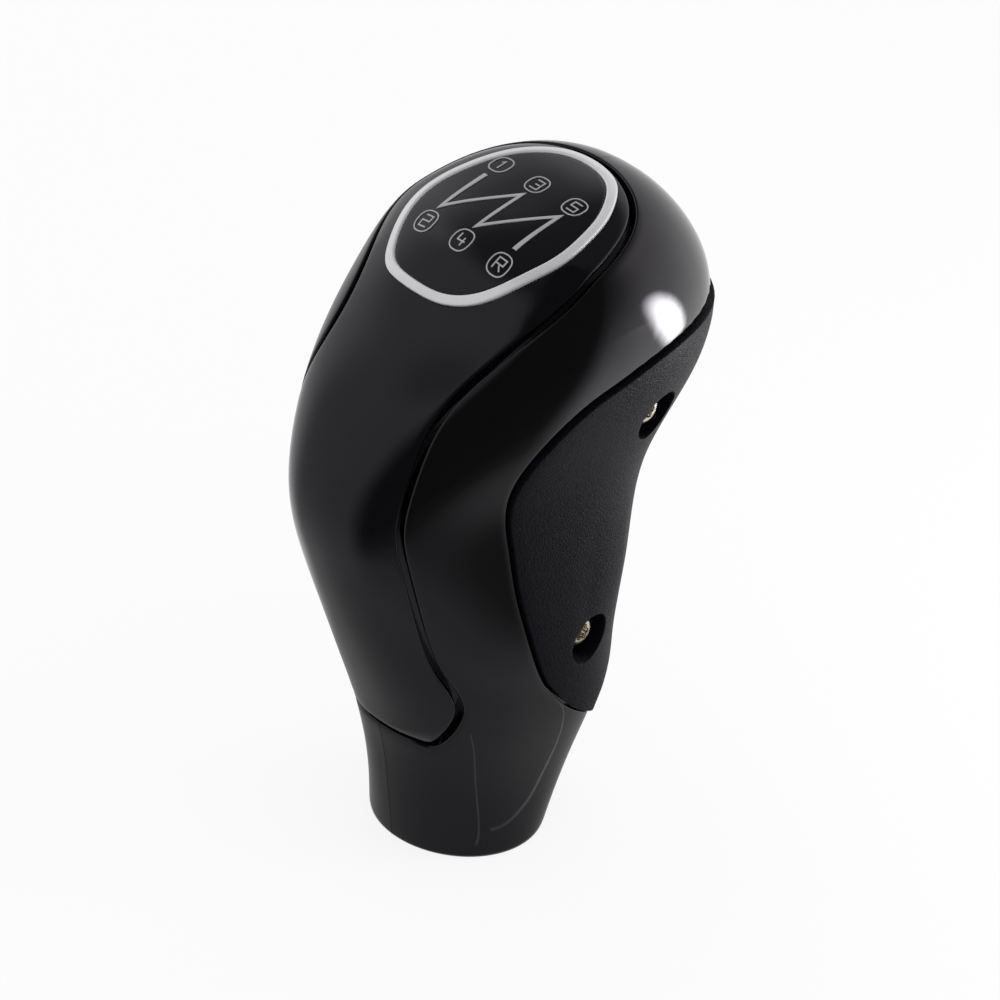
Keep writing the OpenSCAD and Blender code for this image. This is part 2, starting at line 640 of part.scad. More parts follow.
// Thin adhesive pad under the badge
pad_t = 0.3;
pad_gap = 0.04;
plate_low = pad_t + pad_gap - pocket_depth;
module badge_pad() color("#3a3a3c") crown_patch(
  [
    badge_loop(badge_x / 2, pad_gap - pocket_depth),
    badge_loop(pad_inset, pad_gap - pocket_depth), badge_loop(pad_inset, pad_t - pocket_depth),
    badge_loop(ring_w + 0.05, pad_t - pocket_depth), badge_loop(badge_x / 2, pad_t - pocket_depth)
  ],
  crown_point(0, 0, pad_gap - pocket_depth),
  crown_point(0, 0, pad_t - pocket_depth),
  true);

// Dark plate inside the bright frame
plate_top = 0.4;
module badge_plate() color("#151517") crown_patch(
  [
    badge_loop(badge_x / 2, plate_low), badge_loop(ring_w + 0.05, plate_low),
    badge_loop(ring_w + 0.05, plate_top - 0.1), badge_loop(ring_w + 0.15, plate_top),
    for (share = [0.3, 0.47, 0.64, 0.82]) badge_loop(share * badge_x, plate_top)
  ],
  crown_point(0, 0, plate_low), crown_point(0, 0, plate_top));

// Bright frame with broken edges
module badge_ring() color("#c9cacc") crown_band([
  badge_loop(0, plate_low), badge_loop(0, ring_proud - 0.35), badge_loop(0.35, ring_proud),
  badge_loop(ring_w - 0.35, ring_proud), badge_loop(ring_w, ring_proud - 0.35),
  badge_loop(ring_w, plate_low)
]);

// Places of the gate: three columns, back row and front row
gate_back = 8.3;
gate_front = -7.3;
gate_places = [for (x = [-gate_x, 0, gate_x], y = [gate_back, gate_front]) [x, y]];
mark_low = plate_top + 0.02;
mark_top = plate_top + 0.17;
frame_w = 0.3;
function frame_loop(place, inset, lift) =
  [for (i = [0 : 13])
    let (q = -360 * i / 14, e = 0.8)
    crown_point(
      place[0] + (frame_x - inset) * signed_power(sin(q), e),
      place[1] + (frame_y - inset) * signed_power(cos(q), e), lift)];
module gear_frames() color("#d2d3d4") for (place = gate_places) crown_band([
  frame_loop(place, frame_w, mark_low), frame_loop(place, frame_w, mark_top),
  frame_loop(place, 0, mark_top), frame_loop(place, 0, mark_low)
]);

// Raised zigzag that joins the six places without touching their frames
line_w = 0.8;
line_clear = 1.2;
gate_run = frame_y + line_clear;
gate_path = [
  [-gate_x, gate_back - gate_run], [-gate_x, gate_front + gate_run],
  [0, gate_back - gate_run], [0, gate_front + gate_run],
  [gate_x, gate_back - gate_run], [gate_x, gate_front + gate_run]
];
function path_side(k) =
  let (n = len(gate_path) - 1,
    p = gate_path[k],
    a = unit(gate_path[min(k + 1, n)] - gate_path[min(k, n - 1)]),
    b = unit(gate_path[max(k, 1)] - gate_path[max(k - 1, 0)]),
    m = unit([-a[1] - b[1], a[0] + b[0]]),
    w = line_w / 2 / max(m * [-b[1], b[0]], 0.6))
  [p + m * w, p - m * w];
function path_points(k, f) =
  let (a = path_side(k), b = path_side(min(k + 1, len(gate_path) - 1)),
    l = mix(a[0], b[0], f), r = mix(a[1], b[1], f))
  [
    crown_point(l[0], l[1], mark_low), crown_point(l[0], l[1], mark_top),
    crown_point(r[0], r[1], mark_top), crown_point(r[0], r[1], mark_low)
  ];
module gate_line() color("#c9cacc") {
  cuts = 6;
  spans = (len(gate_path) - 1) * cuts;
  points = [for (s = [0 : spans]) each path_points(floor(s / cuts), (s % cuts) / cuts)];
  polyhedron(
    points = points,
    faces = concat(
      quad(0, 1, 2, 3), quad(4 * spans + 3, 4 * spans + 2, 4 * spans + 1, 4 * spans),
      [for (s = [0 : spans - 1], k = [0 : 3])
        let (r = (k + 1) % 4) each quad(4 * s + k, 4 * s + 4 + k, 4 * s + 4 + r, 4 * s + r)]));
}

// Two alike pan head screws with a star socket
socket_r = 1.55;
socket_depth = 1.1;
module star() for (i = [0 : 2]) rotate([0, 0, 60 * i])
  square([2 * socket_r, socket_r * 0.62], center = true);
module grip_screw(seat) translate([0, 0, seat]) difference() {
  rotate_extrude() polygon([
    [0, -shank_l], [shank_d / 2 - 0.8, -shank_l], [shank_d / 2 - 0.25, -shank_l + 1.6],
    [shank_d / 2 - 0.25, -2], [shank_d / 2, -1.6], [shank_d / 2, 0], [head_d / 2, 0],
    [head_d / 2, head_h * 0.55], [head_d / 2 - 0.25, head_h * 0.8], [head_d / 2 - 0.8, head_h],
    [0, head_h]
  ]);
  translate([0, 0, head_h - socket_depth]) linear_extrude(socket_depth + 1) star();
}
module grip_screws() color("#b9b4a6") for (place = screw_places) on_screw(place) grip_screw(place[2]);

// Plastic tube that carries the bush: two flanges hold the lower seat ring between them,
// a shoulder bears under the upper one
flange_low = 1;
flange_gap = 0.15;
flange_r = rim_r - shell_wall - 0.8;
shoulder_out = 0.8;
module lever_core() color("#2b2b2d") difference() {
  union() {
    translate([0, 0, flange_low]) cylinder(r = core_r, h = core_h - flange_low);
    translate([0, 0, flange_low])
      cylinder(r = flange_r, h = seat_low - flange_gap - flange_low);
    translate([0, 0, seat_low + seat_thick + flange_gap]) cylinder(r = core_r + shoulder_out, h = 1.8);
    translate([0, 0, seat_high - flange_gap - 2]) cylinder(r = core_r + shoulder_out, h = 2);
    for (turn = [0, 90]) rotate([0, 0, turn]) translate([-core_r - 1, -1.2, 7])
      cube([2 * core_r + 2, 2.4, seat_high - 8]);
  }
  translate([0, 0, flange_low - 1]) cylinder(r = bush_r, h = bush_l + 1);
  translate([0, 0, flange_low + bush_l - 1]) cylinder(r = bush_r - 1.3, h = core_h - bush_l - 3);
}

// Brass bush with grooves that the plastic grips
groove = 0.5;
module lever_bush() color("#b08d4a") translate([0, 0, flange_low]) difference() {
  cylinder(r = bush_r, h = bush_l);
  translate([0, 0, -1]) cylinder(r = thread_r, h = bush_l + 2);
  translate([0, 0, -0.01]) cylinder(r1 = thread_r + 0.9, r2 = thread_r, h = 0.9);
}

housing_right();
housing_left();
front_cover();
rear_grip();
badge_pad();
badge_plate();
badge_ring();
gear_frames();
gate_line();
grip_screws();
lever_core();
lever_bush();
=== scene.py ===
import math
import bpy
import bmesh
from mathutils import Vector, Matrix


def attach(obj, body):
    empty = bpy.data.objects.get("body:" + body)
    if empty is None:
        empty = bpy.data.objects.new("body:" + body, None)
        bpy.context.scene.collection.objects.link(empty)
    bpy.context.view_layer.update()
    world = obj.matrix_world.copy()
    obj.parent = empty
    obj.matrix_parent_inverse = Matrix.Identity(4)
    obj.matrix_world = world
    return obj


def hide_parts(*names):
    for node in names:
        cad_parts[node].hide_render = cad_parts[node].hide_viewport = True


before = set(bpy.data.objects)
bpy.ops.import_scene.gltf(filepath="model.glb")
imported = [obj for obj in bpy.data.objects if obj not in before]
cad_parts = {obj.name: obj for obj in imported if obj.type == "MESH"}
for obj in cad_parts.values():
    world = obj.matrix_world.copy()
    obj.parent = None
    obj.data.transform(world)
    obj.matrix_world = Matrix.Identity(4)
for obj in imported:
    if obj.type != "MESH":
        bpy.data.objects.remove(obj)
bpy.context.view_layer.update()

MM = 0.001

# Surface of the body in millimetres, the same as that of the solids: stations up the body with front
# reach, rear reach, half width and squareness.
BODY_H, TOP_STATION = 114.0, 9.5
SHOULDER_H, FULL, LEAN, SHIFT = 0.751 * BODY_H, 3.5, 16.2, 5.5
SHIFT_FROM, SHIFT_RUN = 0.351 * BODY_H, 0.667 * BODY_H
LEAN_FROM, LEAN_RUN = 0.737 * BODY_H, 0.281 * BODY_H
STATIONS = [(14.5, 14.5, 14.5, 2), (17, 21, 13.5, 2.1), (20, 25, 15.5, 2.35), (26, 22.5, 17, 2.3),
            (32, 20.5, 17, 2.25), (38, 21.5, 17, 2.25), (42.5, 25, 17.5, 2.3), (38.5, 31.5, 21, 2.5),
            (30.2, 33.9, 23.8, 2.4), (20.4, 23.6, 24.6, 2.2), (27.8, 22.4, 24.9, 2.1)]
# Split lines of cover and grip: height in hundredths of the body and degrees round from the front
COVER_EDGE = [(22, 0), (22, 27.7), (20.7, 36), (28.9, 57), (35.3, 41.7), (46.7, 41), (54.3, 41),
              (61.5, 39), (68.9, 38), (76.6, 33), (84.1, 30), (91.4, 42), (95.6, 67), (97.3, 95),
              (97.8, 123), (98.6, 152), (98.6, 180)]
GRIP_EDGE = [(14.4, 180), (14.4, 150), (18.8, 120), (24.2, 97), (32, 85), (40.2, 79), (48.2, 75),
             (56.5, 74), (64.7, 71), (72.7, 76), (81.5, 89), (83.2, 115), (83.1, 150), (83.1, 180)]
# Outline of the badge in shares of its half sizes, from the middle of its back over the right
BADGE_EDGE = [(0, 1.08), (0.31, 1.06), (0.57, 0.97), (0.8, 0.7), (0.91, 0.48), (0.98, 0.18), (1, -0.04),
              (0.94, -0.27), (0.79, -0.55), (0.61, -0.74), (0.39, -0.86), (0.16, -0.925),
              (-0.11, -0.94), (-0.41, -0.925), (-0.61, -0.89), (-0.74, -0.82), (-0.82, -0.7),
              (-0.91, -0.47), (-0.96, -0.22), (-0.94, 0.08), (-0.84, 0.41), (-0.7, 0.7), (-0.47, 0.91),
              (-0.25, 1.03)]
# Corners of the split lines, counted along their points, and how far the edges stand back there
COVER_TURNS, GRIP_TURNS = (2.45, 11.2), (2.7, 10.0)
CORNER_OPEN, CORNER_SPAN, BACK_OPEN = 0.5, 1.3, 0.9
CREST_H, CREST_RISE = 0.895 * BODY_H, 0.026 * BODY_H
BACK_SWELL, SWELL_H, SWELL_SPAN = 1.2, 0.45, 0.165
BACK_SHARE = [0, 0.235, 0.47, 0.65, 0.82, 1]
BADGE_X, BADGE_Y, BADGE_FRONT, BADGE_H, BADGE_SLOPE = 15.1, 17.5, 7.0, 0.963 * BODY_H, 24.0
RING_W, RING_PROUD, RING_ROUND = 1.5, 0.7, 0.35
PAD_INSET, PAD_H, PLATE_GAP, PLATE_ROUND = 0.6, 0.3, 0.05, 0.18
POCKET, POCKET_GAP, PLATE_LOW, PLATE_TOP = 1.0, 0.15, -0.66, 0.4
GATE_X, GATE_BACK, GATE_FRONT, GATE_RUN = 8.0, 8.3, -7.3, 3.15
SCREWS, HEAD_R, HEAD_H, SINK_R = [(7.8, 39.816, 12.801), (13.1, 80.334, 14.893)], 2.7, 2.0, 3.9
CLEAR_R, SINK_FLARE, SINK_RIM = 1.75, 0.35, 0.22
SHELL, COVER_WALL, GRIP_WALL, PROUD, BED = 2.2, 2.1, 2.1, 0.7, 0.25
COVER_GAP, GRIP_GAP, SEAM = 0.9, 0.4, 0.1
COVER_LIP, PAD_LIP, GRIP_LIP, RIM_ROUND, RIM_TOP = 0.45, 0.2, 0.25, 0.6, 8.0


def mix(a, b, w):
    return tuple(p + (q - p) * w for p, q in zip(a, b))


def clamp(v, low, high):
    return min(max(v, low), high)


def smooth(q):
    q = clamp(q, 0.0, 1.0)
    return q * q * (3 - 2 * q)


def knot(points, i):
    """Point of a list, carried on in a straight line past its ends."""
    n = len(points)
    if i < 0:
        return tuple(2 * a - b for a, b in zip(points[0], points[1]))
    if i >= n:
        return tuple(2 * a - b for a, b in zip(points[-1], points[-2]))
    return points[i]


def spline(points, t):
    """Place on the uniform cubic B-spline of the points, t counted along them."""
    i = int(clamp(math.floor(t), 0, len(points) - 2))
    f = t - i
    w = ((1 - f) ** 3 / 6, (3 * f ** 3 - 6 * f * f + 4) / 6,
         (-3 * f ** 3 + 3 * f * f + 3 * f + 1) / 6, f ** 3 / 6)
    rows = [knot(points, i + k - 1) for k in range(4)]
    return tuple(sum(w[k] * rows[k][c] for k in range(4)) for c in range(len(points[0])))


def dome(h):
    """Share of the full width that is left at a height, as the crown closes."""
    if h <= SHOULDER_H:
        return 1.0
    q = min((h - SHOULDER_H) / (BODY_H - SHOULDER_H), 1.0)
    return max(1 - q ** FULL, 0.0) ** (1 / FULL)


def dome_h(m):
    return SHOULDER_H + (BODY_H - SHOULDER_H) * max(1 - m ** FULL, 0.0) ** (1 / FULL)


def shift_at(h):
    return -SHIFT * smooth((h - SHIFT_FROM) / SHIFT_RUN)


def lean_at(h):
    return math.radians(LEAN) * smooth((h - LEAN_FROM) / LEAN_RUN)


def signed(v, e):
    return math.copysign(abs(v) ** e, v)


def body(h, u):
    """Point of the surface at a height and an angle round from the front."""
    front, rear, half, square = spline(STATIONS, max(h, 0.0) * TOP_STATION / BODY_H)
    shift, tilt, m = shift_at(h), lean_at(h), dome(h)
    c, s = math.cos(math.radians(u)), math.sin(math.radians(u))
    reach = front + shift if c > 0 else rear - shift
    y = -reach * m * signed(c, 2 / square)
    return Vector((half * m * signed(s, 2 / square), shift + y * math.cos(tilt), h + y * math.sin(tilt)))


def along_u(h, u):
    return body(h, u + 0.5) - body(h, u - 0.5)


def along_h(h, u):
    e = min(0.2, (BODY_H - h) / 4)
    return (body(h + e, u) - body(h - e, u)) / (2 * e)


def skin(h, u, depth):
    p = body(h, u)
    if depth:
        p = p - depth * along_u(h, u).cross(along_h(h, u)).normalized()
    p.z = max(p.z, 0.0)
    return p


def tip(depth):
    tilt = lean_at(BODY_H)
    return Vector((0, shift_at(BODY_H) + depth * math.sin(tilt), BODY_H - depth * math.cos(tilt)))


def line_at(line, t, d):
    """Place on a split line, moved sideways over the surface by d."""
    def at(q):
        a = spline(line, clamp(q, 0, len(line) - 1))
        return a[0] * BODY_H / 100, a[1]
    s = at(t)
    t0, t1 = max(t - 0.02, 0), min(t + 0.02, len(line) - 1)
    a, b = at(t0), at(t1)
    ph, pu = along_h(*s), along_u(*s)
    n = pu.cross(ph).normalized()
    run = ph * (b[0] - a[0]) + pu * (b[1] - a[1])
    side = run.cross(n).normalized() * d
    ee, ff, gg, p, q = ph.dot(ph), ph.dot(pu), pu.dot(pu), side.dot(ph), side.dot(pu)
    det = ee * gg - ff * ff
    return s[0] + (p * gg - q * ff) / det, clamp(s[1] + (ee * q - ff * p) / det, 0, 180)


def swell(h, share):
    """How far the back of the grip stands out beyond its upright edges."""
    rise = clamp((share - BACK_SHARE[1]) / (BACK_SHARE[2] - BACK_SHARE[1]), 0, 1)
    return BACK_SWELL * smooth(1 - abs(h / BODY_H - SWELL_H) / SWELL_SPAN) * rise


def over_badge(x, y, w):
    """Point above the badge's sloping plane."""
    s, c = math.sin(math.radians(BADGE_SLOPE)), math.cos(math.radians(BADGE_SLOPE))
    return Vector((x, -BADGE_FRONT + y * c - w * s, BADGE_H + y * s + w * c))


def fill_of(p):
    """Below 0 inside the body, 0 on its surface and above 0 outside."""
    h = p.z
    for _ in range(4):
        h = p.z - (p.y - shift_at(h)) * math.tan(lean_at(h))
    h = min(h, BODY_H * 1.04)
    front, rear, half, square = spline(STATIONS, h * TOP_STATION / BODY_H)
    shift = shift_at(h)
    along = (p.y - shift) / math.cos(lean_at(h))
    reach = front + shift if along < 0 else rear - shift
    m = ((abs(p.x) / half) ** square + (abs(along) / reach) ** square) ** (1 / square)
    rise = max(h - SHOULDER_H, 0) / (BODY_H - SHOULDER_H)
    return m ** FULL + rise ** FULL - 1


def crown_w(x, y):
    """Height of the crown above the badge's plane, found from a first guess in a few steps."""
    w = 0.035 * BODY_H - (x * x + y * y) / 60
    for _ in range(6):
        f = fill_of(over_badge(x, y, w))
        slope = (fill_of(over_badge(x, y, w + 0.05)) - f) / 0.05
        w -= clamp(f / max(slope, 0.01), -2, 2)
    return w


def crown_point(x, y, lift):
    e = 0.3
    dx = (crown_w(x + e, y) - crown_w(x - e, y)) / (2 * e)
    dy = (crown_w(x, y + e) - crown_w(x, y - e)) / (2 * e)
    s, c = math.sin(math.radians(BADGE_SLOPE)), math.cos(math.radians(BADGE_SLOPE))
    n = Vector((-dx, -s - dy * c, c - dy * s)).normalized()
    return over_badge(x, y, crown_w(x, y)) + lift * n


def badge_loop(inset, lift, scale=1.0, n=128):
    """Outline of the badge on the crown, drawn in by an inset and lifted off the surface."""
    edge = BADGE_EDGE[-1:] + BADGE_EDGE + BADGE_EDGE[:2]
    out = []
    for k in range(n):
        p = spline(edge, 1 + len(BADGE_EDGE) * k / n)
        out.append(crown_point(scale * p[0] * (BADGE_X - inset), scale * p[1] * (BADGE_Y - inset), lift))
    return out


def arc(offset, r, depth, steps, first, side=1):
    """Levels of an edge: the foot at first, then a rounded lip from depth r up to the surface."""
    out = [first]
    for k in range(steps + 1):
        a = math.radians(90 * k / steps)
        out.append((offset + side * r * (1 - math.cos(a)), depth + r * (1 - math.sin(a))))
    return out


# Columns of a housing half from front to back: end of the cover's bed, start and end of the outer
# surface, start of the grip's bed, middle of the back
BED_COL, SIDE_COL, EDGE_COL, PAD_COL, BACK_COL = 5, 7, 12, 14, 19
# Rows from rim to crown: top of the collar's rim, then where each lip begins; a lip is two rows high
RIM_ROW, PAD_ROW, BED_ROW, PAD_TOP_ROW, BED_TOP_ROW, LIP = 3, 4, 7, 18, 23, 2
# Distance along a split line between two levels of a lip at its corners
STEP = 0.03


class Region:
    """A half of the body between two split lines, as rows and columns of spots."""

    def __init__(self, lips, pads, grow, cover_bed, grip_bed):
        self.lips, self.pads, self.grow = lips, pads, grow
        self.cover_bed, self.grip_bed = cover_bed, grip_bed
        self.nl, self.np = len(lips) - 1, len(pads) - 1
        self.cache = {}

    def cover(self, t, level):
        o, d = self.lips[level]
        return line_at(COVER_EDGE, t, o + self.grow) + (d,)

    def grip(self, t, level):
        o, d = self.pads[level]
        return line_at(GRIP_EDGE, t, -o - self.grow) + (d,)

    @staticmethod
    def climb(j, start, crossed, span):
        """Share of a side's height at row j; the rows of the lip that is crossed are four times as tight."""
        past = crossed + LIP
        return (min(j, crossed) - start + clamp(j - crossed, 0, LIP) / 4 + max(j - past, 0)) / span

    def climb_cover(self, j):
        return self.climb(j, BED_ROW + LIP, PAD_TOP_ROW, 12.5)

    def climb_grip(self, j):
        return self.climb(j, PAD_ROW + LIP, BED_ROW, 10.5)

    def cover_side(self, row, k):
        j, strip, p = row
        low, high = COVER_TURNS
        if strip == "cb":
            return self.cover(low + STEP * (k - p), max(p, k))
        if strip == "cr":
            return self.cover(high + STEP * (k - p), min(p, k))
        a, b = low + STEP * k, high + STEP * (k - self.nl)
        return self.cover(a + (b - a) * self.climb_cover(j), k)

    def grip_side(self, row, k):
        j, strip, p = row
        low, high = GRIP_TURNS
        if strip == "gb":
            return self.grip(low + STEP * (k - p), max(p, k))
        if strip == "gt":
            return self.grip(high + STEP * (p - k), max(p, k))
        a, b = low + STEP * k, high - STEP * k
        return self.grip(a + (b - a) * self.climb_grip(j), k)

    def spot(self, row, col):
        key = (row, col)
        if key not in self.cache:
            self.cache[key] = self.make(row, col)
        return self.cache[key]

    def make(self, row, col):
        j, strip, p = row
        i, side, k = col
        even = 180 * i / BACK_COL
        if strip == "rim":
            return (p[0], even, p[1] if self.grow == 0 else 0.0)
        if strip == "cap":
            h, u, d = self.spot((BED_TOP_ROW + LIP, "cr", 0), col)
            return (dome_h(dome(h) * p), even + (u - even) * p, d)
        last_rim = (RIM_ROW, "rim", (RIM_TOP, 0.0))
        if i <= SIDE_COL and j < BED_ROW and strip != "cb":
            return mix(self.spot(last_rim, col), self.spot((BED_ROW, "cb", self.nl), col),
                       (j - RIM_ROW) / (BED_ROW - RIM_ROW))
        if i < BED_COL:
            if strip == "cb":
                return self.cover(max(COVER_TURNS[0] - STEP * p, 0) * i / BED_COL, p)
            foot = self.cover(0, 0)[0]
            h = foot + (CREST_H - foot) * self.climb_cover(j)
            if j > BED_TOP_ROW:
                h = CREST_H + (j - BED_TOP_ROW) * CREST_RISE
            return mix((h, 0, self.cover_bed), self.cover_side(row, 0), i / BED_COL)
        if side == "k":
            return self.cover_side(row, k)
        if strip == "cr":
            t = COVER_TURNS[1] + STEP * (self.nl - p)
            return self.cover(t + (len(COVER_EDGE) - 1 - t) * (i - SIDE_COL) / (BACK_COL - SIDE_COL), p)
        if SIDE_COL < i < EDGE_COL:
            return mix(self.spot(row, (SIDE_COL, "k", self.nl)), self.spot(row, (EDGE_COL, "g", self.np)),
                       (i - SIDE_COL) / (EDGE_COL - SIDE_COL))
        above = PAD_TOP_ROW + LIP
        if above < j < BED_TOP_ROW:
            return mix(self.spot((above, "gt", self.np), col), self.spot((BED_TOP_ROW, "cr", self.nl), col),
                       (j - above) / (BED_TOP_ROW - above))
        if j < PAD_ROW:
            return mix(self.spot(last_rim, col), self.spot((PAD_ROW, "gb", self.np), col), j - RIM_ROW)
        if side == "g":
            return self.grip_side(row, k)
        round_back = i - PAD_COL
        if strip == "gb":
            return self.grip((GRIP_TURNS[0] - STEP * p) * (1 - round_back / (BACK_COL - PAD_COL)), p)
        if strip == "gt":
            t = GRIP_TURNS[1] + STEP * p
            return self.grip(t + (len(GRIP_EDGE) - 1 - t) * round_back / (BACK_COL - PAD_COL), p)
        low, high = self.grip(0, 0)[0], self.grip(len(GRIP_EDGE) - 1, 0)[0]
        k = min(int(round_back), len(BACK_SHARE) - 2)
        share = BACK_SHARE[k] + (BACK_SHARE[k + 1] - BACK_SHARE[k]) * (round_back - k)
        h, u, d = mix(self.grip_side(row, 0),
                      (low + (high - low) * self.climb_grip(j), 180, self.grip_bed), share)
        return h, u, d - swell(h, share)


def spread(a, b, n, ends=(True, True)):
    """Even steps from a to b, with or without either end."""
    first, last = (0 if ends[0] else 1), (n if ends[1] else n - 1)
    return [a + (b - a) * k / n for k in range(first, last + 1)]


WELD = 1e-7


def linked(name, data):
    obj = bpy.data.objects.new(name, data)
    bpy.context.scene.collection.objects.link(obj)
    return obj


def crease(bm, angle=40):
    """Shade the faces smooth and keep the edges crisp that turn by the angle or more."""
    limit = math.radians(angle)
    for f in bm.faces:
        f.smooth = True
    for e in bm.edges:
        e.smooth = len(e.link_faces) == 2 and e.calc_face_angle(0) < limit


def new_object(name, verts, faces, node, material, angle=40):
    """Visible piece that stands for a node of the solids; its points are in millimetres."""
    mesh = bpy.data.meshes.new(name)
    mesh.from_pydata([v * MM for v in verts], [], faces)
    bm = bmesh.new()
    bm.from_mesh(mesh)
    bmesh.ops.remove_doubles(bm, verts=bm.verts, dist=WELD)
    bmesh.ops.dissolve_degenerate(bm, dist=WELD, edges=bm.edges)
    bmesh.ops.recalc_face_normals(bm, faces=bm.faces)
    crease(bm, angle)
    bm.to_mesh(mesh)
    bm.free()
    obj = linked(name, mesh)
    obj.data.materials.append(material)
    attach(obj, "root")
    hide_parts(node)
    return obj


def always(j, i):
    return True


def grid_faces(rows, cols, ring, has=always, base=0, flip=False):
    """Faces between the points of a grid, closed round its columns if it is a ring."""
    faces = []
    last = cols if ring else cols - 1
    for j in range(rows - 1):
        for i in range(last):
            if has(j, i):
                r = (i + 1) % cols
                a, b = base + j * cols + i, base + j * cols + r
                q = (a, b, b + cols, a + cols)
                faces.append(q[::-1] if flip else q)
    return faces


def shell(name, rows, cols, ring, outer, inner, tips, has, node, material, angle=40):
    """Closed mesh between an outer and an inner grid, walled where a cell has no neighbour."""
    n = rows * cols
    verts = list(outer) + list(inner) + list(tips)
    faces = grid_faces(rows, cols, ring, has, 0, False) + grid_faces(rows, cols, ring, has, n, True)
    last = cols if ring else cols - 1

    def filled(j, i):
        return 0 <= j < rows - 1 and (ring or 0 <= i < last) and has(j, i % cols)

    for j in range(rows - 1):
        for i in range(last):
            if not filled(j, i):
                continue
            r = (i + 1) % cols
            a, b = j * cols + i, j * cols + r
            c, d = a + cols, b + cols
            if not filled(j - 1, i):
                faces.append((b, a, a + n, b + n))
            if not filled(j + 1, i) and not (tips and j == rows - 2):
                faces.append((c, d, d + n, c + n))
            if not filled(j, i - 1):
                faces.append((a, c, c + n, a + n))
            if not filled(j, i + 1):
                faces.append((d, b, b + n, d + n))
    if tips:
        for i in range(last):
            a, b = (rows - 1) * cols + i, (rows - 1) * cols + (i + 1) % cols
            faces.append((a, b, 2 * n))
            faces.append((b + n, a + n, 2 * n + 1))
        if not ring:
            a, b = (rows - 1) * cols, rows * cols - 1
            faces.append((a, 2 * n, 2 * n + 1, a + n))
            faces.append((2 * n, b, b + n, 2 * n + 1))
    return new_object(name, verts, faces, node, material, angle)


# Materials
def nodes_of(name):
    mat = bpy.data.materials.new(name)
    mat.use_nodes = True
    return mat, mat.node_tree, mat.node_tree.nodes["Principled BSDF"]


def plug(tree, socket, value):
    """Link a socket to another one, or give it a plain value."""
    if isinstance(value, bpy.types.NodeSocket):
        tree.links.new(value, socket)
    else:
        socket.default_value = value


def add(tree, kind, *inputs, **values):
    """New node: plain arguments feed its inputs in order, and in_ ones the input of that name."""
    node = tree.nodes.new(kind)
    for key, value in values.items():
        if key.startswith("in_"):
            plug(tree, node.inputs[key[3:].replace("_", " ")], value)
        else:
            setattr(node, key, value)
    for socket, value in zip(node.inputs, inputs):
        plug(tree, socket, value)
    return node


def object_space(tree, scale=(1, 1, 1)):
    place = tree.nodes.new("ShaderNodeTexCoord").outputs["Object"]
    return add(tree, "ShaderNodeMapping", in_Scale=scale, in_Vector=place).outputs["Vector"]


def noise(tree, space, scale, detail, distortion=0.0):
    return add(tree, "ShaderNodeTexNoise", in_Vector=space, in_Scale=scale, in_Detail=detail,
               in_Distortion=distortion)


def ramp(tree, source, stops):
    node = add(tree, "ShaderNodeValToRGB", in_Fac=source)
    while len(node.color_ramp.elements) < len(stops):
        node.color_ramp.elements.new(0.5)
    for element, (at, colour) in zip(node.color_ramp.elements, stops):
        element.position = at
        element.color = tuple(colour) + (1,)
    return node.outputs["Color"]


def grey(v):
    return (v, v, v)


def relief(tree, bsdf, height, strength, distance):
    bump = add(tree, "ShaderNodeBump", in_Strength=strength, in_Distance=distance, in_Height=height)
    plug(tree, bsdf.inputs["Normal"], bump.outputs["Normal"])


def gloss(name, tint, rough, scratch=0.04, dust=0.1):
    """Piano black: deep base, faint waviness, fine hairline scratches and specks of dust."""
    mat, tree, bsdf = nodes_of(name)
    space = object_space(tree)
    wide = noise(tree, space, 55.0, 3.0)
    plug(tree, bsdf.inputs["Base Color"],
         ramp(tree, wide.outputs["Fac"], [(0.3, tint), (0.75, tuple(c * 1.5 for c in tint))]))
    hair = noise(tree, object_space(tree, (0.25, 1.6, 0.35)), 260.0, 2.0, 1.2)
    lines = ramp(tree, hair.outputs["Fac"], [(0.492, grey(0)), (0.5, grey(1)), (0.508, grey(0))])
    specks = add(tree, "ShaderNodeTexVoronoi", in_Vector=space, in_Scale=420.0, feature="F1")
    dots = ramp(tree, specks.outputs["Distance"], [(0.0, grey(1)), (0.07, grey(0))])
    marks = add(tree, "ShaderNodeMath", lines, scratch, operation="MULTIPLY")
    dusty = add(tree, "ShaderNodeMath", dots, dust, marks.outputs[0], operation="MULTIPLY_ADD")
    worn = add(tree, "ShaderNodeMath", dusty.outputs[0], rough, operation="ADD")
    plug(tree, bsdf.inputs["Roughness"], worn.outputs[0])
    relief(tree, bsdf, noise(tree, space, 35.0, 1.0).outputs["Fac"], 0.03, 0.0004)
    bsdf.inputs["Specular IOR Level"].default_value = 0.5
    bsdf.inputs["Specular Tint"].default_value = (0.95, 0.89, 1.0, 1.0)
    bsdf.inputs["IOR"].default_value = 1.5
    return mat


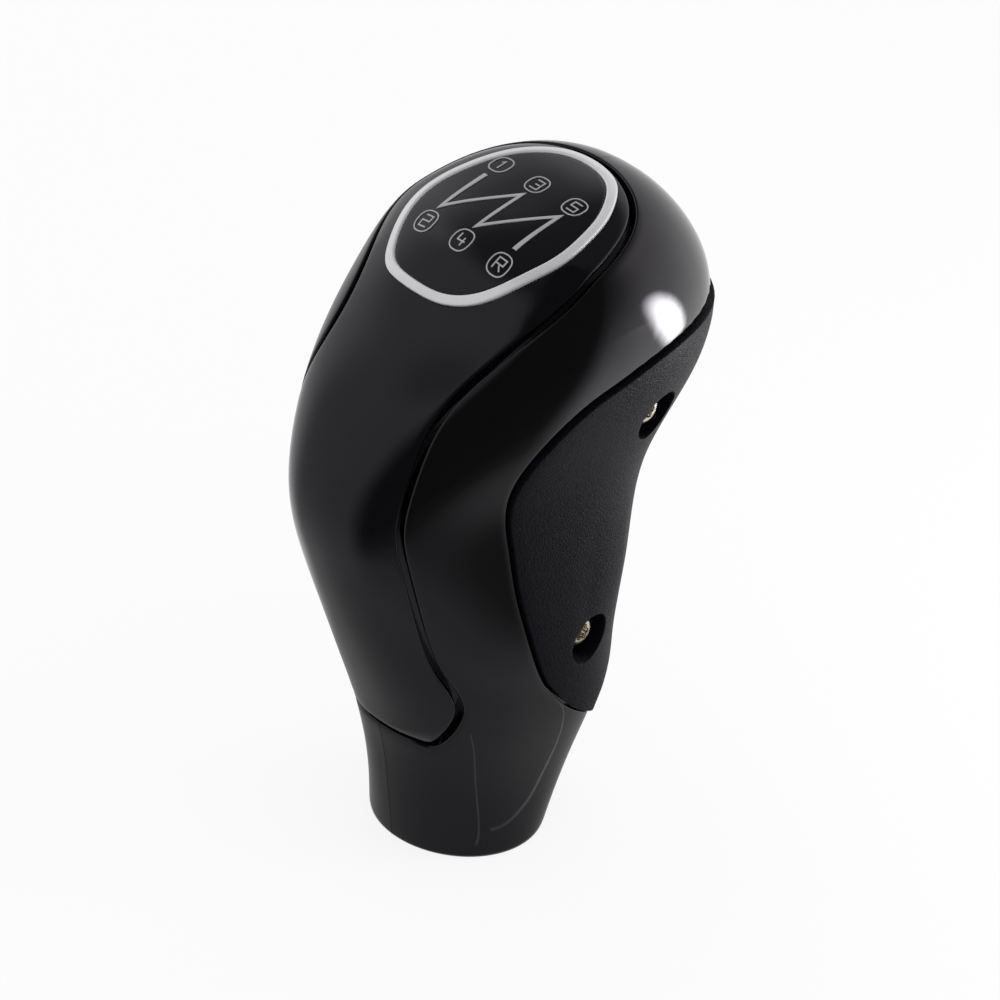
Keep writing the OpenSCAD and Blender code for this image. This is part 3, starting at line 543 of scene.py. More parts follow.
def grain(name):
    """Fine leather grain moulded into satin black rubber; painted shade darkens its grooves."""
    mat, tree, bsdf = nodes_of(name)
    space = object_space(tree)
    warp = noise(tree, space, 1200.0, 3.0)
    bend = add(tree, "ShaderNodeMixRGB", 0.0006, space, warp.outputs["Color"], blend_type="ADD")
    cells = add(tree, "ShaderNodeTexVoronoi", in_Vector=bend.outputs[0], in_Scale=1700.0, in_Randomness=1.0,
                feature="DISTANCE_TO_EDGE")
    pebble = ramp(tree, cells.outputs["Distance"], [(0.0, grey(0)), (0.12, grey(0.75)), (0.4, grey(1))])
    fine = noise(tree, space, 2600.0, 2.0).outputs["Fac"]
    height = add(tree, "ShaderNodeMixRGB", 0.25, pebble, fine, blend_type="MIX")
    relief(tree, bsdf, height.outputs[0], 0.6, 0.0001)
    # Painted shade: the base colour darkens into the grooves between the pebbles, where the relief is
    # lowest.
    plug(tree, bsdf.inputs["Base Color"],
         ramp(tree, pebble, [(0.0, (0.002, 0.002, 0.003)), (0.8, (0.0052, 0.005, 0.0082))]))
    plug(tree, bsdf.inputs["Roughness"], ramp(tree, fine, [(0.3, grey(0.36)), (0.7, grey(0.5))]))
    bsdf.inputs["Specular IOR Level"].default_value = 0.06
    bsdf.inputs["Specular Tint"].default_value = (0.92, 0.88, 1.0, 1.0)
    return mat


def mottled(name, colour, rough, scale, detail, dark, uneven, bump, metallic=0.0, stretch=(1, 1, 1)):
    """Fine noise in colour, roughness and relief; dark is the share that its darkest spots keep."""
    mat, tree, bsdf = nodes_of(name)
    bsdf.inputs["Metallic"].default_value = metallic
    spots = noise(tree, object_space(tree, stretch), scale, detail).outputs["Fac"]
    plug(tree, bsdf.inputs["Base Color"],
         ramp(tree, spots, [(0.3, tuple(c * dark for c in colour)), (0.7, colour)]))
    plug(tree, bsdf.inputs["Roughness"],
         ramp(tree, spots, [(0.3, grey(rough * (1 - uneven))), (0.7, grey(rough * (1 + uneven)))]))
    relief(tree, bsdf, spots, bump, 0.00003)
    return mat


def metal(name, colour, rough, brushed=0.0, metallic=1.0):
    stretch = (1, 0.1, 1) if brushed else (1, 1, 1)
    return mottled(name, colour, rough, 300.0, 4.0, 0.93, 0.2, 0.05 + brushed, metallic, stretch)


def plastic(name, colour, rough):
    return mottled(name, colour, rough, 1500.0, 3.0, 0.8, 0.15, 0.2)


HOUSING = gloss("housing_gloss", (0.0014, 0.0013, 0.0014), 0.05)
COVER = gloss("cover_gloss", (0.0014, 0.0014, 0.0018), 0.04)
LENS = gloss("badge_gloss", (0.001, 0.001, 0.0013), 0.03, 0.0, 0.04)
GRIP = grain("grip_grain")
SATIN = metal("badge_satin", (0.86, 0.86, 0.89), 0.38, 0.1, metallic=0.45)
PRINT = metal("badge_print", (0.5, 0.5, 0.52), 0.45, metallic=0.3)
NICKEL = metal("screw_nickel", (0.72, 0.66, 0.56), 0.3)
BRASS = metal("bush_brass", (0.72, 0.5, 0.2), 0.3, 0.2)
MATTE = plastic("core_plastic", (0.03, 0.03, 0.032), 0.55)
FOAM = plastic("pad_foam", (0.05, 0.05, 0.055), 0.8)

# Housing halves
LIPS = arc(COVER_GAP / 2 + 0.1, COVER_LIP, 0.0, 4, (COVER_GAP / 2, COVER_WALL + BED))
PADS = arc(GRIP_GAP / 2, PAD_LIP, 0.0, 4, (GRIP_GAP / 2, GRIP_WALL + BED))
rim = arc(0.0, RIM_ROUND, 0.0, 6, None)[1:]
rim += [(RIM_ROUND + (RIM_TOP - RIM_ROUND) * k / 6, 0.0) for k in range(1, 7)]
nl, npd = len(LIPS) - 1, len(PADS) - 1
ROWS = [(0, "rim", r) for r in rim]
ROWS += [(j, None, 0) for j in spread(RIM_ROW, PAD_ROW, 6, (False, False))]
ROWS += [(PAD_ROW + LIP * (npd - p) / npd, "gb", p) for p in range(npd, -1, -1)]
ROWS += [(BED_ROW - 0.5, None, 0)]
ROWS += [(BED_ROW + LIP * (nl - p) / nl, "cb", p) for p in range(nl, -1, -1)]
ROWS += [(j, None, 0) for j in spread(BED_ROW + LIP, PAD_TOP_ROW, 45, (False, False))]
ROWS += [(PAD_TOP_ROW + LIP * p / npd, "gt", p) for p in range(npd + 1)]
ROWS += [(j, None, 0) for j in spread(PAD_TOP_ROW + LIP, BED_TOP_ROW, 15, (False, False))]
ROWS += [(BED_TOP_ROW + LIP * (nl - p) / nl, "cr", p) for p in range(nl, -1, -1)]
ROWS += [(BED_TOP_ROW + LIP, "cap", 1 - k / 10) for k in range(1, 10)]
COLS = [(i, "a", 0) for i in spread(0, BED_COL, 10, (True, False))]
COLS += [(BED_COL + LIP * k / nl, "k", k) for k in range(nl + 1)]
COLS += [(i, "b", 0) for i in spread(SIDE_COL, EDGE_COL, 16, (False, False))]
COLS += [(EDGE_COL + LIP * (npd - k) / npd, "g", k) for k in range(npd, -1, -1)]
COLS += [(i, "c", 0) for i in spread(PAD_COL, BACK_COL, 15, (False, True))]
outside = Region(LIPS, PADS, 0.0, COVER_WALL + BED, GRIP_WALL + BED)
inside = Region(LIPS, PADS, SHELL, COVER_WALL + BED, GRIP_WALL + BED)


def half_points(region, wall):
    out = []
    for row in ROWS:
        for k, col in enumerate(COLS):
            h, u, d = region.spot(row, col)
            p = skin(h, u, d + wall)
            if k in (0, len(COLS) - 1):
                p.x = SEAM / 2
            out.append(p)
    return out


half_out, half_in = half_points(outside, 0.0), half_points(inside, SHELL)
tips = [tip(COVER_WALL + BED), tip(COVER_WALL + BED + SHELL)]
for p in tips:
    p.x = SEAM / 2


def flipped(points):
    return [Vector((-p.x, p.y, p.z)) for p in points]


right_half = shell("housing_right_skin", len(ROWS), len(COLS), False, half_out, half_in, tips, always,
                   "housing_right", HOUSING)
shell("housing_left_skin", len(ROWS), len(COLS), False, flipped(half_out), flipped(half_in), flipped(tips),
      always, "housing_left", HOUSING)

# Front cover
RIMS = arc(-COVER_GAP / 2, COVER_LIP, 0.0, 4, (-COVER_GAP / 2, COVER_WALL * 0.8), -1)
nr = len(RIMS) - 1
A_N, BACK_N, SIDE_N, CAP_N = 14, 34, 66, 12


def cover_rim(t, level):
    o, d = RIMS[level]
    o -= CORNER_OPEN * smooth(1 - abs(t - COVER_TURNS[0]) / CORNER_SPAN)
    return line_at(COVER_EDGE, clamp(t, 0, len(COVER_EDGE) - 1), o) + (d,)


def cover_spots():
    """Half of the cover as rows of spots; rows above the turn go on to the back."""
    low, high = COVER_TURNS
    foot = [[cover_rim((low + STEP * (p - nr)) * i / A_N, p) for i in range(A_N)]
            + [cover_rim(low + STEP * (p - k), min(p, k)) for k in range(nr, -1, -1)]
            for p in range(nr)]
    rows = [(r, False) for r in foot]
    start = cover_rim(0, nr)[0]
    for s in range(SIDE_N + 1):
        w = s / SIDE_N
        side = [cover_rim((low + STEP * (nr - k)) * (1 - w) + (high - STEP * k) * w, k)
                for k in range(nr, -1, -1)]
        front = (start + (CREST_H - start) * w, 0, 0)
        rows.append(([mix(front, side[0], i / A_N) for i in range(A_N)] + side, s == SIDE_N))
    full = []
    end = len(COVER_EDGE) - 1
    for p in range(nr + 1):
        side = [cover_rim(high + STEP * (p - k), max(p, k)) for k in range(nr, -1, -1)]
        front = (CREST_H + CREST_RISE * p / nr, 0, 0)
        t = high + STEP * p
        full.append([mix(front, side[0], i / A_N) for i in range(A_N)] + side
                    + [cover_rim(t + (end - t) * i / BACK_N, p) for i in range(1, BACK_N + 1)])
    rows.pop()
    n = len(full[0])
    base = full[-1]
    for c in range(1, CAP_N):
        f = 1 - c / CAP_N
        full.append([(dome_h(dome(h) * f), 180 * i / (n - 1) * (1 - f) + u * f, d)
                     for i, (h, u, d) in enumerate(base)])
    block = A_N + nr
    return [r for r, _ in rows], full, block


def cover_mesh():
    side_rows, full_rows, block = cover_spots()
    n = len(full_rows[0])
    cols = 2 * (n - 1)
    rows = side_rows + full_rows
    first_full = len(side_rows)
    outer, inner = [], []
    for row in rows:
        filled = list(row) + [row[-1]] * (n - len(row))
        for i in range(cols):
            left = i > n - 1
            h, u, d = filled[cols - i if left else i]
            p, q = skin(h, u, d), skin(h, u, COVER_WALL)
            if i in (0, n - 1):
                p.x = q.x = 0.0
            if left:
                p.x, q.x = -p.x, -q.x
            outer.append(p)
            inner.append(q)
    return shell("front_cover_skin", len(rows), cols, True, outer, inner, [tip(0), tip(COVER_WALL)],
                 lambda j, i: j >= first_full or i < block or i >= cols - block, "front_cover", COVER)


cover = cover_mesh()

# Rear grip
GRIMS = arc(GRIP_GAP / 2, GRIP_LIP, -PROUD, 4, (GRIP_GAP / 2, GRIP_WALL * 0.6))
ng = len(GRIMS) - 1


def grip_rim(t, level):
    o, d = GRIMS[level]
    o += BACK_OPEN * smooth((t - GRIP_TURNS[1] - 0.6) / 1.6)
    return line_at(GRIP_EDGE, clamp(t, 0, len(GRIP_EDGE) - 1), o) + (d,)


def grip_mesh():
    """Rows from the grip's lower to its upper end, each from the right edge round the back to the left."""
    low, high = GRIP_TURNS
    end = len(GRIP_EDGE) - 1
    side_n = 60
    first, edge = BACK_SHARE[1], BACK_SHARE[2]
    shares = spread(0, first, 6, (False, True)) + spread(first, edge, 6, (False, True))
    shares += spread(edge, 1, 14, (False, True))
    rows = []
    for p in range(ng):
        rows.append([grip_rim(low + STEP * (p - k), min(p, k)) for k in range(ng + 1)]
                    + [grip_rim((low + STEP * (p - ng)) * (1 - w), p) for w in shares])
    bottom = grip_rim(0, ng)[0]
    top = grip_rim(end, ng)[0]
    for s in range(side_n + 1):
        w = s / side_n
        if w == 0 or w == 1:
            t = low if w == 0 else high
            row = [grip_rim(t + (STEP if w == 0 else -STEP) * (ng - k), k) for k in range(ng + 1)]
            row += [grip_rim(t * (1 - q) if w == 0 else t + (end - t) * q, ng) for q in shares]
        else:
            side = [grip_rim((low + STEP * (ng - k)) * (1 - w) + (high - STEP * (ng - k)) * w, k)
                    for k in range(ng + 1)]
            back = (bottom + (top - bottom) * w, 180, -PROUD)
            row = side + [mix(side[-1], back, q) for q in shares]
        rows.append(row)
    for p in range(ng - 1, -1, -1):
        t = high + STEP * (ng - p)
        rows.append([grip_rim(high + STEP * (k - p), min(p, k)) for k in range(ng + 1)]
                    + [grip_rim(t + (end - t) * w, p) for w in shares])
    n = len(rows[0])
    share_at = [0] * (ng + 1) + shares
    cols = 2 * n - 1
    outer, inner = [], []
    for row in rows:
        for i in range(cols):
            left = i > n - 1
            k = cols - 1 - i if left else i
            h, u, d = row[k]
            out = swell(h, share_at[k])
            p, q = skin(h, u, d - out), skin(h, u, GRIP_WALL - out)
            if i == n - 1:
                p.x = q.x = 0.0
            if left:
                p.x, q.x = -p.x, -q.x
            outer.append(p)
            inner.append(q)
    return shell("rear_grip_skin", len(rows), cols, False, outer, inner, [], always, "rear_grip", GRIP)


grip = grip_mesh()

# Cuts: pockets and holes for the screws, the badge's pocket
def loft(loops, low_tip, high_tip):
    """Closed mesh over a pile of loops with a point at each end, or a ring of loops without."""
    n, m = len(loops[0]), len(loops)
    verts = [p for loop in loops for p in loop]
    faces = []
    for j in range(m - 1 if low_tip else m):
        k = (j + 1) % m
        faces += [(j * n + i, j * n + (i + 1) % n, k * n + (i + 1) % n, k * n + i) for i in range(n)]
    if low_tip:
        verts += [low_tip, high_tip]
        faces += [((i + 1) % n, i, m * n) for i in range(n)]
        faces += [((m - 1) * n + i, (m - 1) * n + (i + 1) % n, m * n + 1) for i in range(n)]
    return verts, faces


def around_x(y, z, rings, n=72):
    """Loops round a line along X; a ring is (x, r) or (x, function of the angle)."""
    loops = []
    for x, r in rings:
        loop = []
        for k in range(n):
            a = 2 * math.pi * k / n
            q = r(a) if callable(r) else r
            loop.append(Vector((x, y + q * math.cos(a), z + q * math.sin(a))))
        loops.append(loop)
    return loops


def cut(obj, tools):
    """Cut closed tools out of a piece and mark its sharp edges again."""
    made = []
    for verts, faces in tools:
        mesh = bpy.data.meshes.new("tool")
        mesh.from_pydata([v * MM for v in verts], [], faces)
        bm = bmesh.new()
        bm.from_mesh(mesh)
        bmesh.ops.recalc_face_normals(bm, faces=bm.faces)
        bm.to_mesh(mesh)
        bm.free()
        tool = linked("tool", mesh)
        change = obj.modifiers.new("cut", "BOOLEAN")
        change.operation, change.solver, change.object = "DIFFERENCE", "EXACT", tool
        made.append(tool)
    seen = obj.evaluated_get(bpy.context.evaluated_depsgraph_get())
    mesh = bpy.data.meshes.new_from_object(seen)
    obj.modifiers.clear()
    obj.data = mesh
    for tool in made:
        bpy.data.objects.remove(tool)
    bm = bmesh.new()
    bm.from_mesh(mesh)
    crease(bm)
    bm.to_mesh(mesh)
    bm.free()


def bar(y, z, x0, x1, r, flare=0.0):
    """Round tool along X, which may widen past its straight first part."""
    x2 = min(x0 + 4.5, x1)
    loops = around_x(y, z, [(x0, r), (x2, r), (x1, r + flare * (x1 - x2))])
    return loft(loops, Vector((x0, y, z)), Vector((x1, y, z)))


def round_rims(obj, width):
    """Round the rims of the screw pockets where they meet the outer surface."""
    bm = bmesh.new()
    bm.from_mesh(obj.data)
    rims = []
    for e in bm.edges:
        if len(e.link_faces) != 2 or e.calc_face_angle(0) < math.radians(40):
            continue
        for y, z, seat in SCREWS:
            spots = [(v.co.x / MM - seat, math.hypot(v.co.y / MM - y, v.co.z / MM - z)) for v in e.verts]
            at_wall = all(x > 0.5 and SINK_R - 0.05 < r < SINK_R + 1.2 for x, r in spots)
            if at_wall and max(f.normal.x for f in e.link_faces) > 0.5:
                rims.append(e)
    bmesh.ops.bevel(bm, geom=rims, offset=width * MM, segments=3, profile=0.5, affect="EDGES",
                    clamp_overlap=True)
    crease(bm)
    bm.to_mesh(obj.data)
    bm.free()


cut(grip, [bar(y, z, seat - 2, seat + 8, SINK_R, SINK_FLARE) for y, z, seat in SCREWS])
round_rims(grip, SINK_RIM)
cut(right_half, [bar(y, z, seat, seat + 14, SINK_R) for y, z, seat in SCREWS]
    + [bar(y, z, 0.2, seat + 1, CLEAR_R) for y, z, seat in SCREWS])
cut(cover, [loft([badge_loop(BADGE_X / 2, -POCKET), badge_loop(PAD_INSET, -POCKET),
                  badge_loop(-POCKET_GAP, -POCKET), badge_loop(-POCKET_GAP, 2), badge_loop(BADGE_X / 2, 2)],
                 crown_point(0, 0, -POCKET), crown_point(0, 0, 2))])

# Badge: pad, plate and ring
PAD_LOW, PAD_TOP = 0.04 - POCKET, PAD_H - POCKET


def badge_piece(name, levels, low, high, node, material):
    """Closed piece over loops of the badge's outline, given as inset, lift and scale."""
    verts, faces = loft([badge_loop(*level) for level in levels], low, high)
    return new_object(name, verts, faces, node, material)


pad = [(PAD_INSET, PAD_LOW, 0.5), (PAD_INSET, PAD_LOW, 1), (PAD_INSET, PAD_TOP - 0.06, 1),
       (PAD_INSET + 0.06, PAD_TOP, 1), (PAD_INSET + 0.06, PAD_TOP, 0.5)]
badge_piece("badge_pad_foam", pad, crown_point(0, 0, PAD_LOW), crown_point(0, 0, PAD_TOP), "badge_pad", FOAM)
side = RING_W + PLATE_GAP
plate = [(side, PLATE_LOW, 0.5), (side, PLATE_LOW, 1)]
plate += [(side + PLATE_ROUND * (1 - math.cos(math.radians(a))),
           PLATE_TOP - PLATE_ROUND * (1 - math.sin(math.radians(a))), 1) for a in (0, 30, 60, 90)]
plate += [(side + PLATE_ROUND, PLATE_TOP, f) for f in (0.97, 0.9, 0.8, 0.68, 0.55, 0.42, 0.28, 0.14)]
badge_piece("badge_plate_lens", plate, crown_point(0, 0, PLATE_LOW), crown_point(0, 0, PLATE_TOP),
            "badge_plate", LENS)
turn = [(1 - math.cos(math.radians(a)), 1 - math.sin(math.radians(a))) for a in (0, 22.5, 45, 67.5, 90)]
ring_side = [(RING_ROUND * o, RING_PROUD - RING_ROUND * w) for o, w in turn]
section = [(0, PLATE_LOW)] + ring_side + [(RING_W / 2, RING_PROUD + 0.03)]
section += [(RING_W - o, w) for o, w in reversed(ring_side)] + [(RING_W, PLATE_LOW)]
badge_piece("badge_ring_frame", section, None, None, "badge_ring", SATIN)


# Marks raised on the plate
MARK_LOW, MARK_TOP = PLATE_TOP + 0.02, PLATE_TOP + 0.17


def ribbon(path, width, closed=False, step=0.5, top=MARK_TOP, soft=0.05):
    """Raised line on the crown along a path of the badge's plane, mitred at its corners."""
    n = len(path)
    sides = []
    for k in range(n):
        before = path[k - 1] if closed or k > 0 else path[k]
        after = path[(k + 1) % n] if closed or k < n - 1 else path[k]
        a = Vector((path[k][0] - before[0], path[k][1] - before[1]))
        b = Vector((after[0] - path[k][0], after[1] - path[k][1]))
        a = a.normalized() if a.length else b.normalized()
        b = b.normalized() if b.length else a
        m = Vector((-a.y - b.y, a.x + b.x)).normalized()
        sides.append((Vector(path[k]), m / max(m.dot(Vector((-b.y, b.x))), 0.5)))
    spots = []
    for k in range(n if closed else n - 1):
        (p, m), (q, o) = sides[k], sides[(k + 1) % n]
        cuts = max(int((q - p).length / step), 1)
        spots += [(p.lerp(q, c / cuts), m.lerp(o, c / cuts)) for c in range(cuts)]
    if not closed:
        spots.append(sides[-1])
    half = width / 2
    profile = [(half, MARK_LOW), (half, top - soft), (half - soft, top), (soft - half, top),
               (-half, top - soft), (-half, MARK_LOW)]
    verts, faces, w = [], [], len(profile)
    for p, m in spots:
        verts += [crown_point(p.x + m.x * o, p.y + m.y * o, lift) for o, lift in profile]
    total = len(spots)
    for k in range(total if closed else total - 1):
        r = (k + 1) % total
        faces += [(k * w + i, r * w + i, r * w + (i + 1) % w, k * w + (i + 1) % w) for i in range(w)]
    if not closed:
        faces += [tuple(range(w)), tuple(range((total - 1) * w, total * w))[::-1]]
    return verts, faces


def joined(name, parts, node, material, angle=40):
    verts, faces = [], []
    for v, f in parts:
        base = len(verts)
        verts += v
        faces += [tuple(base + k for k in face) for face in f]
    return new_object(name, verts, faces, node, material, angle)


FRAME_X, FRAME_Y, FRAME_W, LINE_W = 1.85, 1.95, 0.21, 0.8


def frame_path(x, y, n=36):
    """Middle of the line round a position, a circle drawn out towards its corners."""
    out = []
    for k in range(n):
        a = 2 * math.pi * k / n
        out.append((x + (FRAME_X - FRAME_W / 2) * signed(math.sin(a), 0.8),
                    y + (FRAME_Y - FRAME_W / 2) * signed(math.cos(a), 0.8)))
    return out[::-1]


PLACES = [(x, y) for x in (-GATE_X, 0, GATE_X) for y in (GATE_BACK, GATE_FRONT)]
SIGNS = ("1", "2", "3", "4", "5", "R")
STROKES = {
    "1": [[(-0.5, 0.55), (0.1, 1), (0.1, -1)]],
    "2": [[(-1, 1), (1, 1), (1, 0), (-1, 0), (-1, -1), (1, -1)]],
    "3": [[(-1, 1), (1, 1), (1, -1), (-1, -1)], [(-0.5, 0), (0.7, 0)]],
    "4": [[(-1, 1), (-1, -0.2), (1, -0.2)], [(0.45, 0.5), (0.45, -1)]],
    "5": [[(1, 1), (-1, 1), (-1, 0), (1, 0), (1, -1), (-1, -1)]],
    "R": [[(-1, -1), (-1, 1), (1, 1), (1, 0), (-0.75, 0)], [(0.1, -0.2), (1, -1)]],
}
SIGN_X, SIGN_Y, STROKE = 0.74, 0.98, 0.24
parts = [ribbon(frame_path(x, y), FRAME_W, True, 5) for x, y in PLACES]
for (x, y), sign in zip(PLACES, SIGNS):
    for stroke in STROKES[sign]:
        parts.append(ribbon([(x + SIGN_X * a, y + SIGN_Y * b) for a, b in stroke], STROKE, False, 0.5,
                            PLATE_TOP + 0.12, 0.04))
joined("gear_marks", parts, "gear_frames", PRINT)
LOW_Y, HIGH_Y = GATE_BACK - GATE_RUN, GATE_FRONT + GATE_RUN
zigzag = [(x, y) for x in (-GATE_X, 0, GATE_X) for y in (LOW_Y, HIGH_Y)]
joined("gate_zigzag", [ribbon(zigzag, LINE_W, False, 0.8)], "gate_line", PRINT)


# Screws: pan heads with a six-lobed recess
def lobes(scale):
    """Radius of the recess round its six lobes."""
    return lambda a: scale * (1.36 + 0.17 * math.cos(6 * a))


def screw(y, z, seat):
    """Turned profile from the point over the shank and the head to the bottom of the recess."""
    rings = [(-20, 0.5), (-18.4, 1.25), (-2, 1.25), (-1.6, 1.5), (0, 1.5), (0, HEAD_R), (1.05, HEAD_R),
             (1.3, 2.64), (1.55, 2.5), (1.76, 2.3), (1.92, 2.02), (HEAD_H, 1.72), (HEAD_H, lobes(1.04)),
             (HEAD_H - 0.06, lobes(1)), (0.95, lobes(0.97)), (0.9, lobes(0.9))]
    return loft(around_x(y, z, [(seat + x, r) for x, r in rings], 96), Vector((seat - 20.3, y, z)),
                Vector((seat + 0.7, y, z)))


joined("grip_screws_turned", [screw(*place) for place in SCREWS], "grip_screws", NICKEL, 35)

# Inner pieces whose solids stay
for node, mat in (("lever_core", MATTE), ("lever_bush", BRASS)):
    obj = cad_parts[node]
    for s in obj.material_slots:
        s.material = mat

# Camera of the photograph
TARGET, DISTANCE, SENSOR, FRAME = Vector((0, 0, 0.06)), 0.65, 36, 1000
AZ, EL, ROLL = math.radians(42.59), math.radians(30.88), math.radians(7.65)
# Pixels for each millimetre at the target, and the target's place in the photograph
PIXELS, CENTRE_X, CENTRE_Y = 6.32, 497.72, 498.1
back = Vector((math.cos(EL) * math.sin(AZ), -math.cos(EL) * math.cos(AZ), math.sin(EL)))
right = Vector((math.cos(AZ), math.sin(AZ), 0))
up = back.cross(right)
x_axis = right * math.cos(ROLL) + up * math.sin(ROLL)
y_axis = up * math.cos(ROLL) - right * math.sin(ROLL)
cam_data = bpy.data.cameras.new("camera")
cam = linked("camera", cam_data)
cam.matrix_world = Matrix.Translation(TARGET + back * DISTANCE) @ Matrix(
    ((x_axis.x, y_axis.x, back.x), (x_axis.y, y_axis.y, back.y), (x_axis.z, y_axis.z, back.z))).to_4x4()
cam_data.sensor_width = SENSOR
cam_data.lens = PIXELS * DISTANCE / MM * SENSOR / FRAME
cam_data.shift_x = (FRAME / 2 - CENTRE_X) / FRAME
cam_data.shift_y = (CENTRE_Y - FRAME / 2) / FRAME
cam_data.clip_start, cam_data.clip_end = 0.01, 20
bpy.context.scene.camera = cam

# Pale floor and white surroundings, which keep the knob's shadow; soft light from behind
bpy.context.scene.view_settings.view_transform = "Standard"


def seen_white(tree, dim, white):
    """Mix a dim look for the light that falls on things with a white one for what is seen."""
    path = tree.nodes.new("ShaderNodeLightPath").outputs
    one = add(tree, "ShaderNodeMath", path["Is Camera Ray"], path["Is Glossy Ray"], operation="MAXIMUM")
    two = add(tree, "ShaderNodeMath", one.outputs[0], path["Is Transmission Ray"], operation="MAXIMUM")
    return add(tree, "ShaderNodeMixShader", two.outputs[0], dim, white).outputs[0]


world = bpy.data.worlds.new("studio")
bpy.context.scene.world = world
world.use_nodes = True
wt = world.node_tree
bg = wt.nodes["Background"]
bg.inputs["Color"].default_value = (0.85, 0.85, 0.85, 1)
white = add(wt, "ShaderNodeBackground", in_Color=(1, 1, 1, 1))
wt.links.new(seen_white(wt, bg.outputs[0], white.outputs[0]), wt.nodes["World Output"].inputs["Surface"])

floor_mat, ft, floor_bsdf = nodes_of("floor_pale")
floor_bsdf.inputs["Base Color"].default_value = (0.8, 0.8, 0.8, 1)
floor_bsdf.inputs["Roughness"].default_value = 1.0
floor_bsdf.inputs["Specular IOR Level"].default_value = 0.0
glow = ft.nodes.new("ShaderNodeEmission")
lit = add(ft, "ShaderNodeBsdfDiffuse", in_Color=(1, 1, 1, 1))
pale = add(ft, "ShaderNodeMixShader", 0.85, lit.outputs[0], glow.outputs[0])
ft.links.new(seen_white(ft, floor_bsdf.outputs[0], pale.outputs[0]),
             ft.nodes["Material Output"].inputs["Surface"])


def staged(name, verts, faces, material):
    """Thing of the studio, not of the knob; its points are in metres."""
    mesh = bpy.data.meshes.new(name)
    mesh.from_pydata(verts, [], faces)
    obj = linked(name, mesh)
    obj.data.materials.append(material)
    return obj


def gloss_only(obj):
    obj.visible_camera = obj.visible_diffuse = obj.visible_transmission = obj.visible_shadow = False


def write_values(obj, name, values):
    layer = obj.data.attributes.new(name, "FLOAT", "POINT")
    for spot, value in zip(layer.data, values):
        spot.value = value


def bare(name):
    """Material with an empty tree, and the socket of its surface."""
    mat = bpy.data.materials.new(name)
    mat.use_nodes = True
    mat.node_tree.nodes.clear()
    return mat, mat.node_tree, mat.node_tree.nodes.new("ShaderNodeOutputMaterial").inputs["Surface"]


FLOOR = 3
staged("floor", [(-FLOOR, -FLOOR, 0), (FLOOR, -FLOOR, 0), (FLOOR, FLOOR, 0), (-FLOOR, FLOOR, 0)],
       [(0, 1, 2, 3)], floor_mat)


def toward(azimuth, elevation, distance):
    """Place in the studio: azimuth 0 is the front and 90 the right."""
    a, e = math.radians(azimuth), math.radians(elevation)
    return Vector((math.sin(a) * math.cos(e), -math.cos(a) * math.cos(e), math.sin(e))) * distance


def gate(v, a, b, c, d):
    """Soft window: 0 below a, 1 from b to c, 0 above d."""
    return smooth((v - a) / (b - a)) * smooth((d - v) / (d - c))


# Glow of the walls: its strength and the soft window of azimuth that it fills
WALL_GLOWS = [(0.35, (-125, -100, -75, -50)), (0.45, (122, 145, 175, 200)), (0.4, (-200, -185, -135, -120))]


def light_of(azimuth, elevation):
    """Brightness of the studio that the gloss sees, against the white of its walls."""
    low = smooth((-38 - elevation) / 14)
    top = smooth((elevation - 42) / 18)
    wall = 0.5
    for strength, window in WALL_GLOWS:
        wall += strength * gate(azimuth, *window)
    share = wall * (1 - low) + 0.33 * low
    share = share * (1 - top) + 0.16 * top
    dark = gate(azimuth, 8, 34, 112, 134) * gate(elevation, -47, -33, 80, 100)
    return share * (1 - dark) + 0.06 * dark


# Grey scrims round the knob, seen in the gloss only: darkest from the front round to the right
scrim_mat, gt, scrim_out = bare("scrim_grey")
through = gt.nodes.new("ShaderNodeBsdfTransparent")
black = add(gt, "ShaderNodeBsdfDiffuse", in_Color=(0.0, 0.0, 0.0, 1))
shade = add(gt, "ShaderNodeAttribute", attribute_name="shade")
blend = add(gt, "ShaderNodeMixShader", shade.outputs["Fac"], through.outputs[0], black.outputs[0])
gt.links.new(blend.outputs[0], scrim_out)
SCRIM_R, SCRIM_START, SCRIM_Z, EYE_Z = 0.5, 0.0147, 0.0004, 0.06


def scrims(steps=72, floor_rings=24):
    """Rings on the floor from beside the collar outward, then a dome over them."""
    around = [-180 + 360 * k / steps for k in range(steps)]
    rings = [(SCRIM_START + (SCRIM_R - SCRIM_START) * (k / floor_rings) ** 2, SCRIM_Z)
             for k in range(floor_rings + 1)]
    rings += [(SCRIM_R * math.cos(math.radians(a)), EYE_Z + SCRIM_R * math.sin(math.radians(a)))
              for a in range(-6, 90, 4)]
    verts, shades = [], []
    for r, z in rings:
        for a in around:
            d = toward(a, 0, 1)
            verts.append((d.x * r, d.y * r, z))
            shades.append(1 - light_of(a, math.degrees(math.atan2(z - EYE_Z, r))))
    verts.append((0, 0, EYE_Z + SCRIM_R))
    shades.append(1 - light_of(0, 90))
    faces = grid_faces(len(rings), steps, True)
    last = (len(rings) - 1) * steps
    faces += [(last + i, last + (i + 1) % steps, len(verts) - 1) for i in range(steps)]
    obj = staged("scrims", verts, faces, scrim_mat)
    write_values(obj, "shade", shades)
    gloss_only(obj)


scrims()


# Painted highlights: two glowing strips on the floor, seen in the gloss only, which the collar mirrors as
# thin upright lines
strip_mat, _, strip_bsdf = nodes_of("highlight_strip_glow")
strip_bsdf.inputs["Base Color"].default_value = (0, 0, 0, 1)
strip_bsdf.inputs["Emission Color"].default_value = (1, 1, 1, 1)
strip_bsdf.inputs["Emission Strength"].default_value = 0.65
STRIP_W, STRIP_Z = 0.6, 0.0008


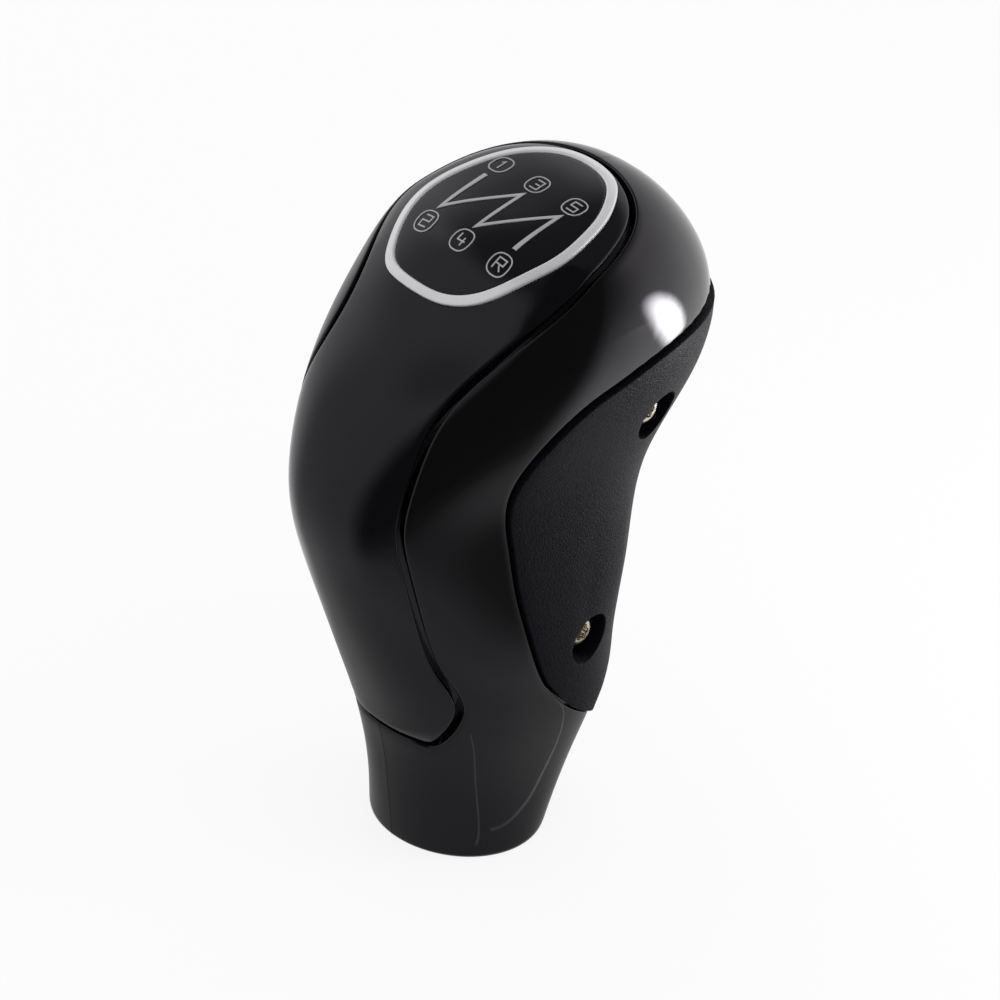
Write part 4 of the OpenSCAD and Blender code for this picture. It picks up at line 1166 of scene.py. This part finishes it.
def highlight_strip(name, points, n=40):
    """Thin glowing strip on the floor along a smooth line, seen in the gloss only as a painted highlight;
    points in millimetres.
    """
    path = [spline(points, (len(points) - 1) * k / n) for k in range(n + 1)]
    verts = []
    for k, p in enumerate(path):
        a, b = Vector(path[max(k - 1, 0)]), Vector(path[min(k + 1, n)])
        side = Vector((a.y - b.y, b.x - a.x)).normalized() * STRIP_W / 2
        verts += [((p[0] + side.x) * MM, (p[1] + side.y) * MM, STRIP_Z),
                  ((p[0] - side.x) * MM, (p[1] - side.y) * MM, STRIP_Z)]
    faces = [(2 * k, 2 * k + 1, 2 * k + 3, 2 * k + 2) for k in range(n)]
    gloss_only(staged(name, verts, faces, strip_mat))


highlight_strip("highlight_strip_front", [(15, -8.0), (18, -7.6), (22, -7.6), (26, -8.4), (31, -10.8)])
highlight_strip("highlight_strip_side", [(20, -4.2), (22, 4.4), (19.8, 18), (17.6, 27.4), (27, 35.6), (43, 41)])


def softbox(name, centre, aim, width, height, watts):
    """Lamp that lights without showing in the gloss."""
    data = bpy.data.lights.new(name, "AREA")
    data.shape = "RECTANGLE"
    data.size, data.size_y = width, height
    data.energy = watts
    obj = linked(name, data)
    obj.location = centre
    obj.rotation_mode = "QUATERNION"
    obj.rotation_quaternion = (Vector(centre) - Vector(aim)).to_track_quat("Z", "Y")
    obj.visible_glossy = False


softbox("low_back", (0.175, 0.253, 0.06), (0.02, 0, 0.08), 0.12, 0.1, 0.35)

# Soft lamp low behind the knob's right side, as its gloss shows it: bright in the middle, fading out
glow_mat, lt, glow_out = bare("lamp_glow")
clear = lt.nodes.new("ShaderNodeBsdfTransparent")
fade = add(lt, "ShaderNodeAttribute", attribute_name="fade")
bright = add(lt, "ShaderNodeEmission", in_Strength=fade.outputs["Fac"])
both = add(lt, "ShaderNodeAddShader", clear.outputs[0], bright.outputs[0])
lt.links.new(both.outputs[0], glow_out)


def lamp_card(name, eye, azimuth, elevation, distance, long, wide, strength, n=28):
    """Card that faces the point it is mirrored from, long along its falling diagonal."""
    look = toward(azimuth, elevation, 1)
    around = toward(azimuth + 90, 0, 1)
    rise = look.cross(around).normalized()
    if rise.z < 0:
        rise = -rise
    one, two = (around - rise).normalized(), (around + rise).normalized()
    verts, fades = [], []
    for j in range(n + 1):
        for i in range(n + 1):
            a, b = 2 * i / n - 1, 2 * j / n - 1
            verts.append(Vector(eye) + look * distance + one * long * a + two * wide * b)
            fades.append(strength * smooth((1 - math.hypot(a, b)) / 0.75))
    obj = staged(name, verts, grid_faces(n + 1, n + 1, False), glow_mat)
    write_values(obj, "fade", fades)
    gloss_only(obj)


lamp_card("lamp_soft", (0.02, 0.005, 0.097), 154, -17, 0.13, 0.062, 0.021, 15)
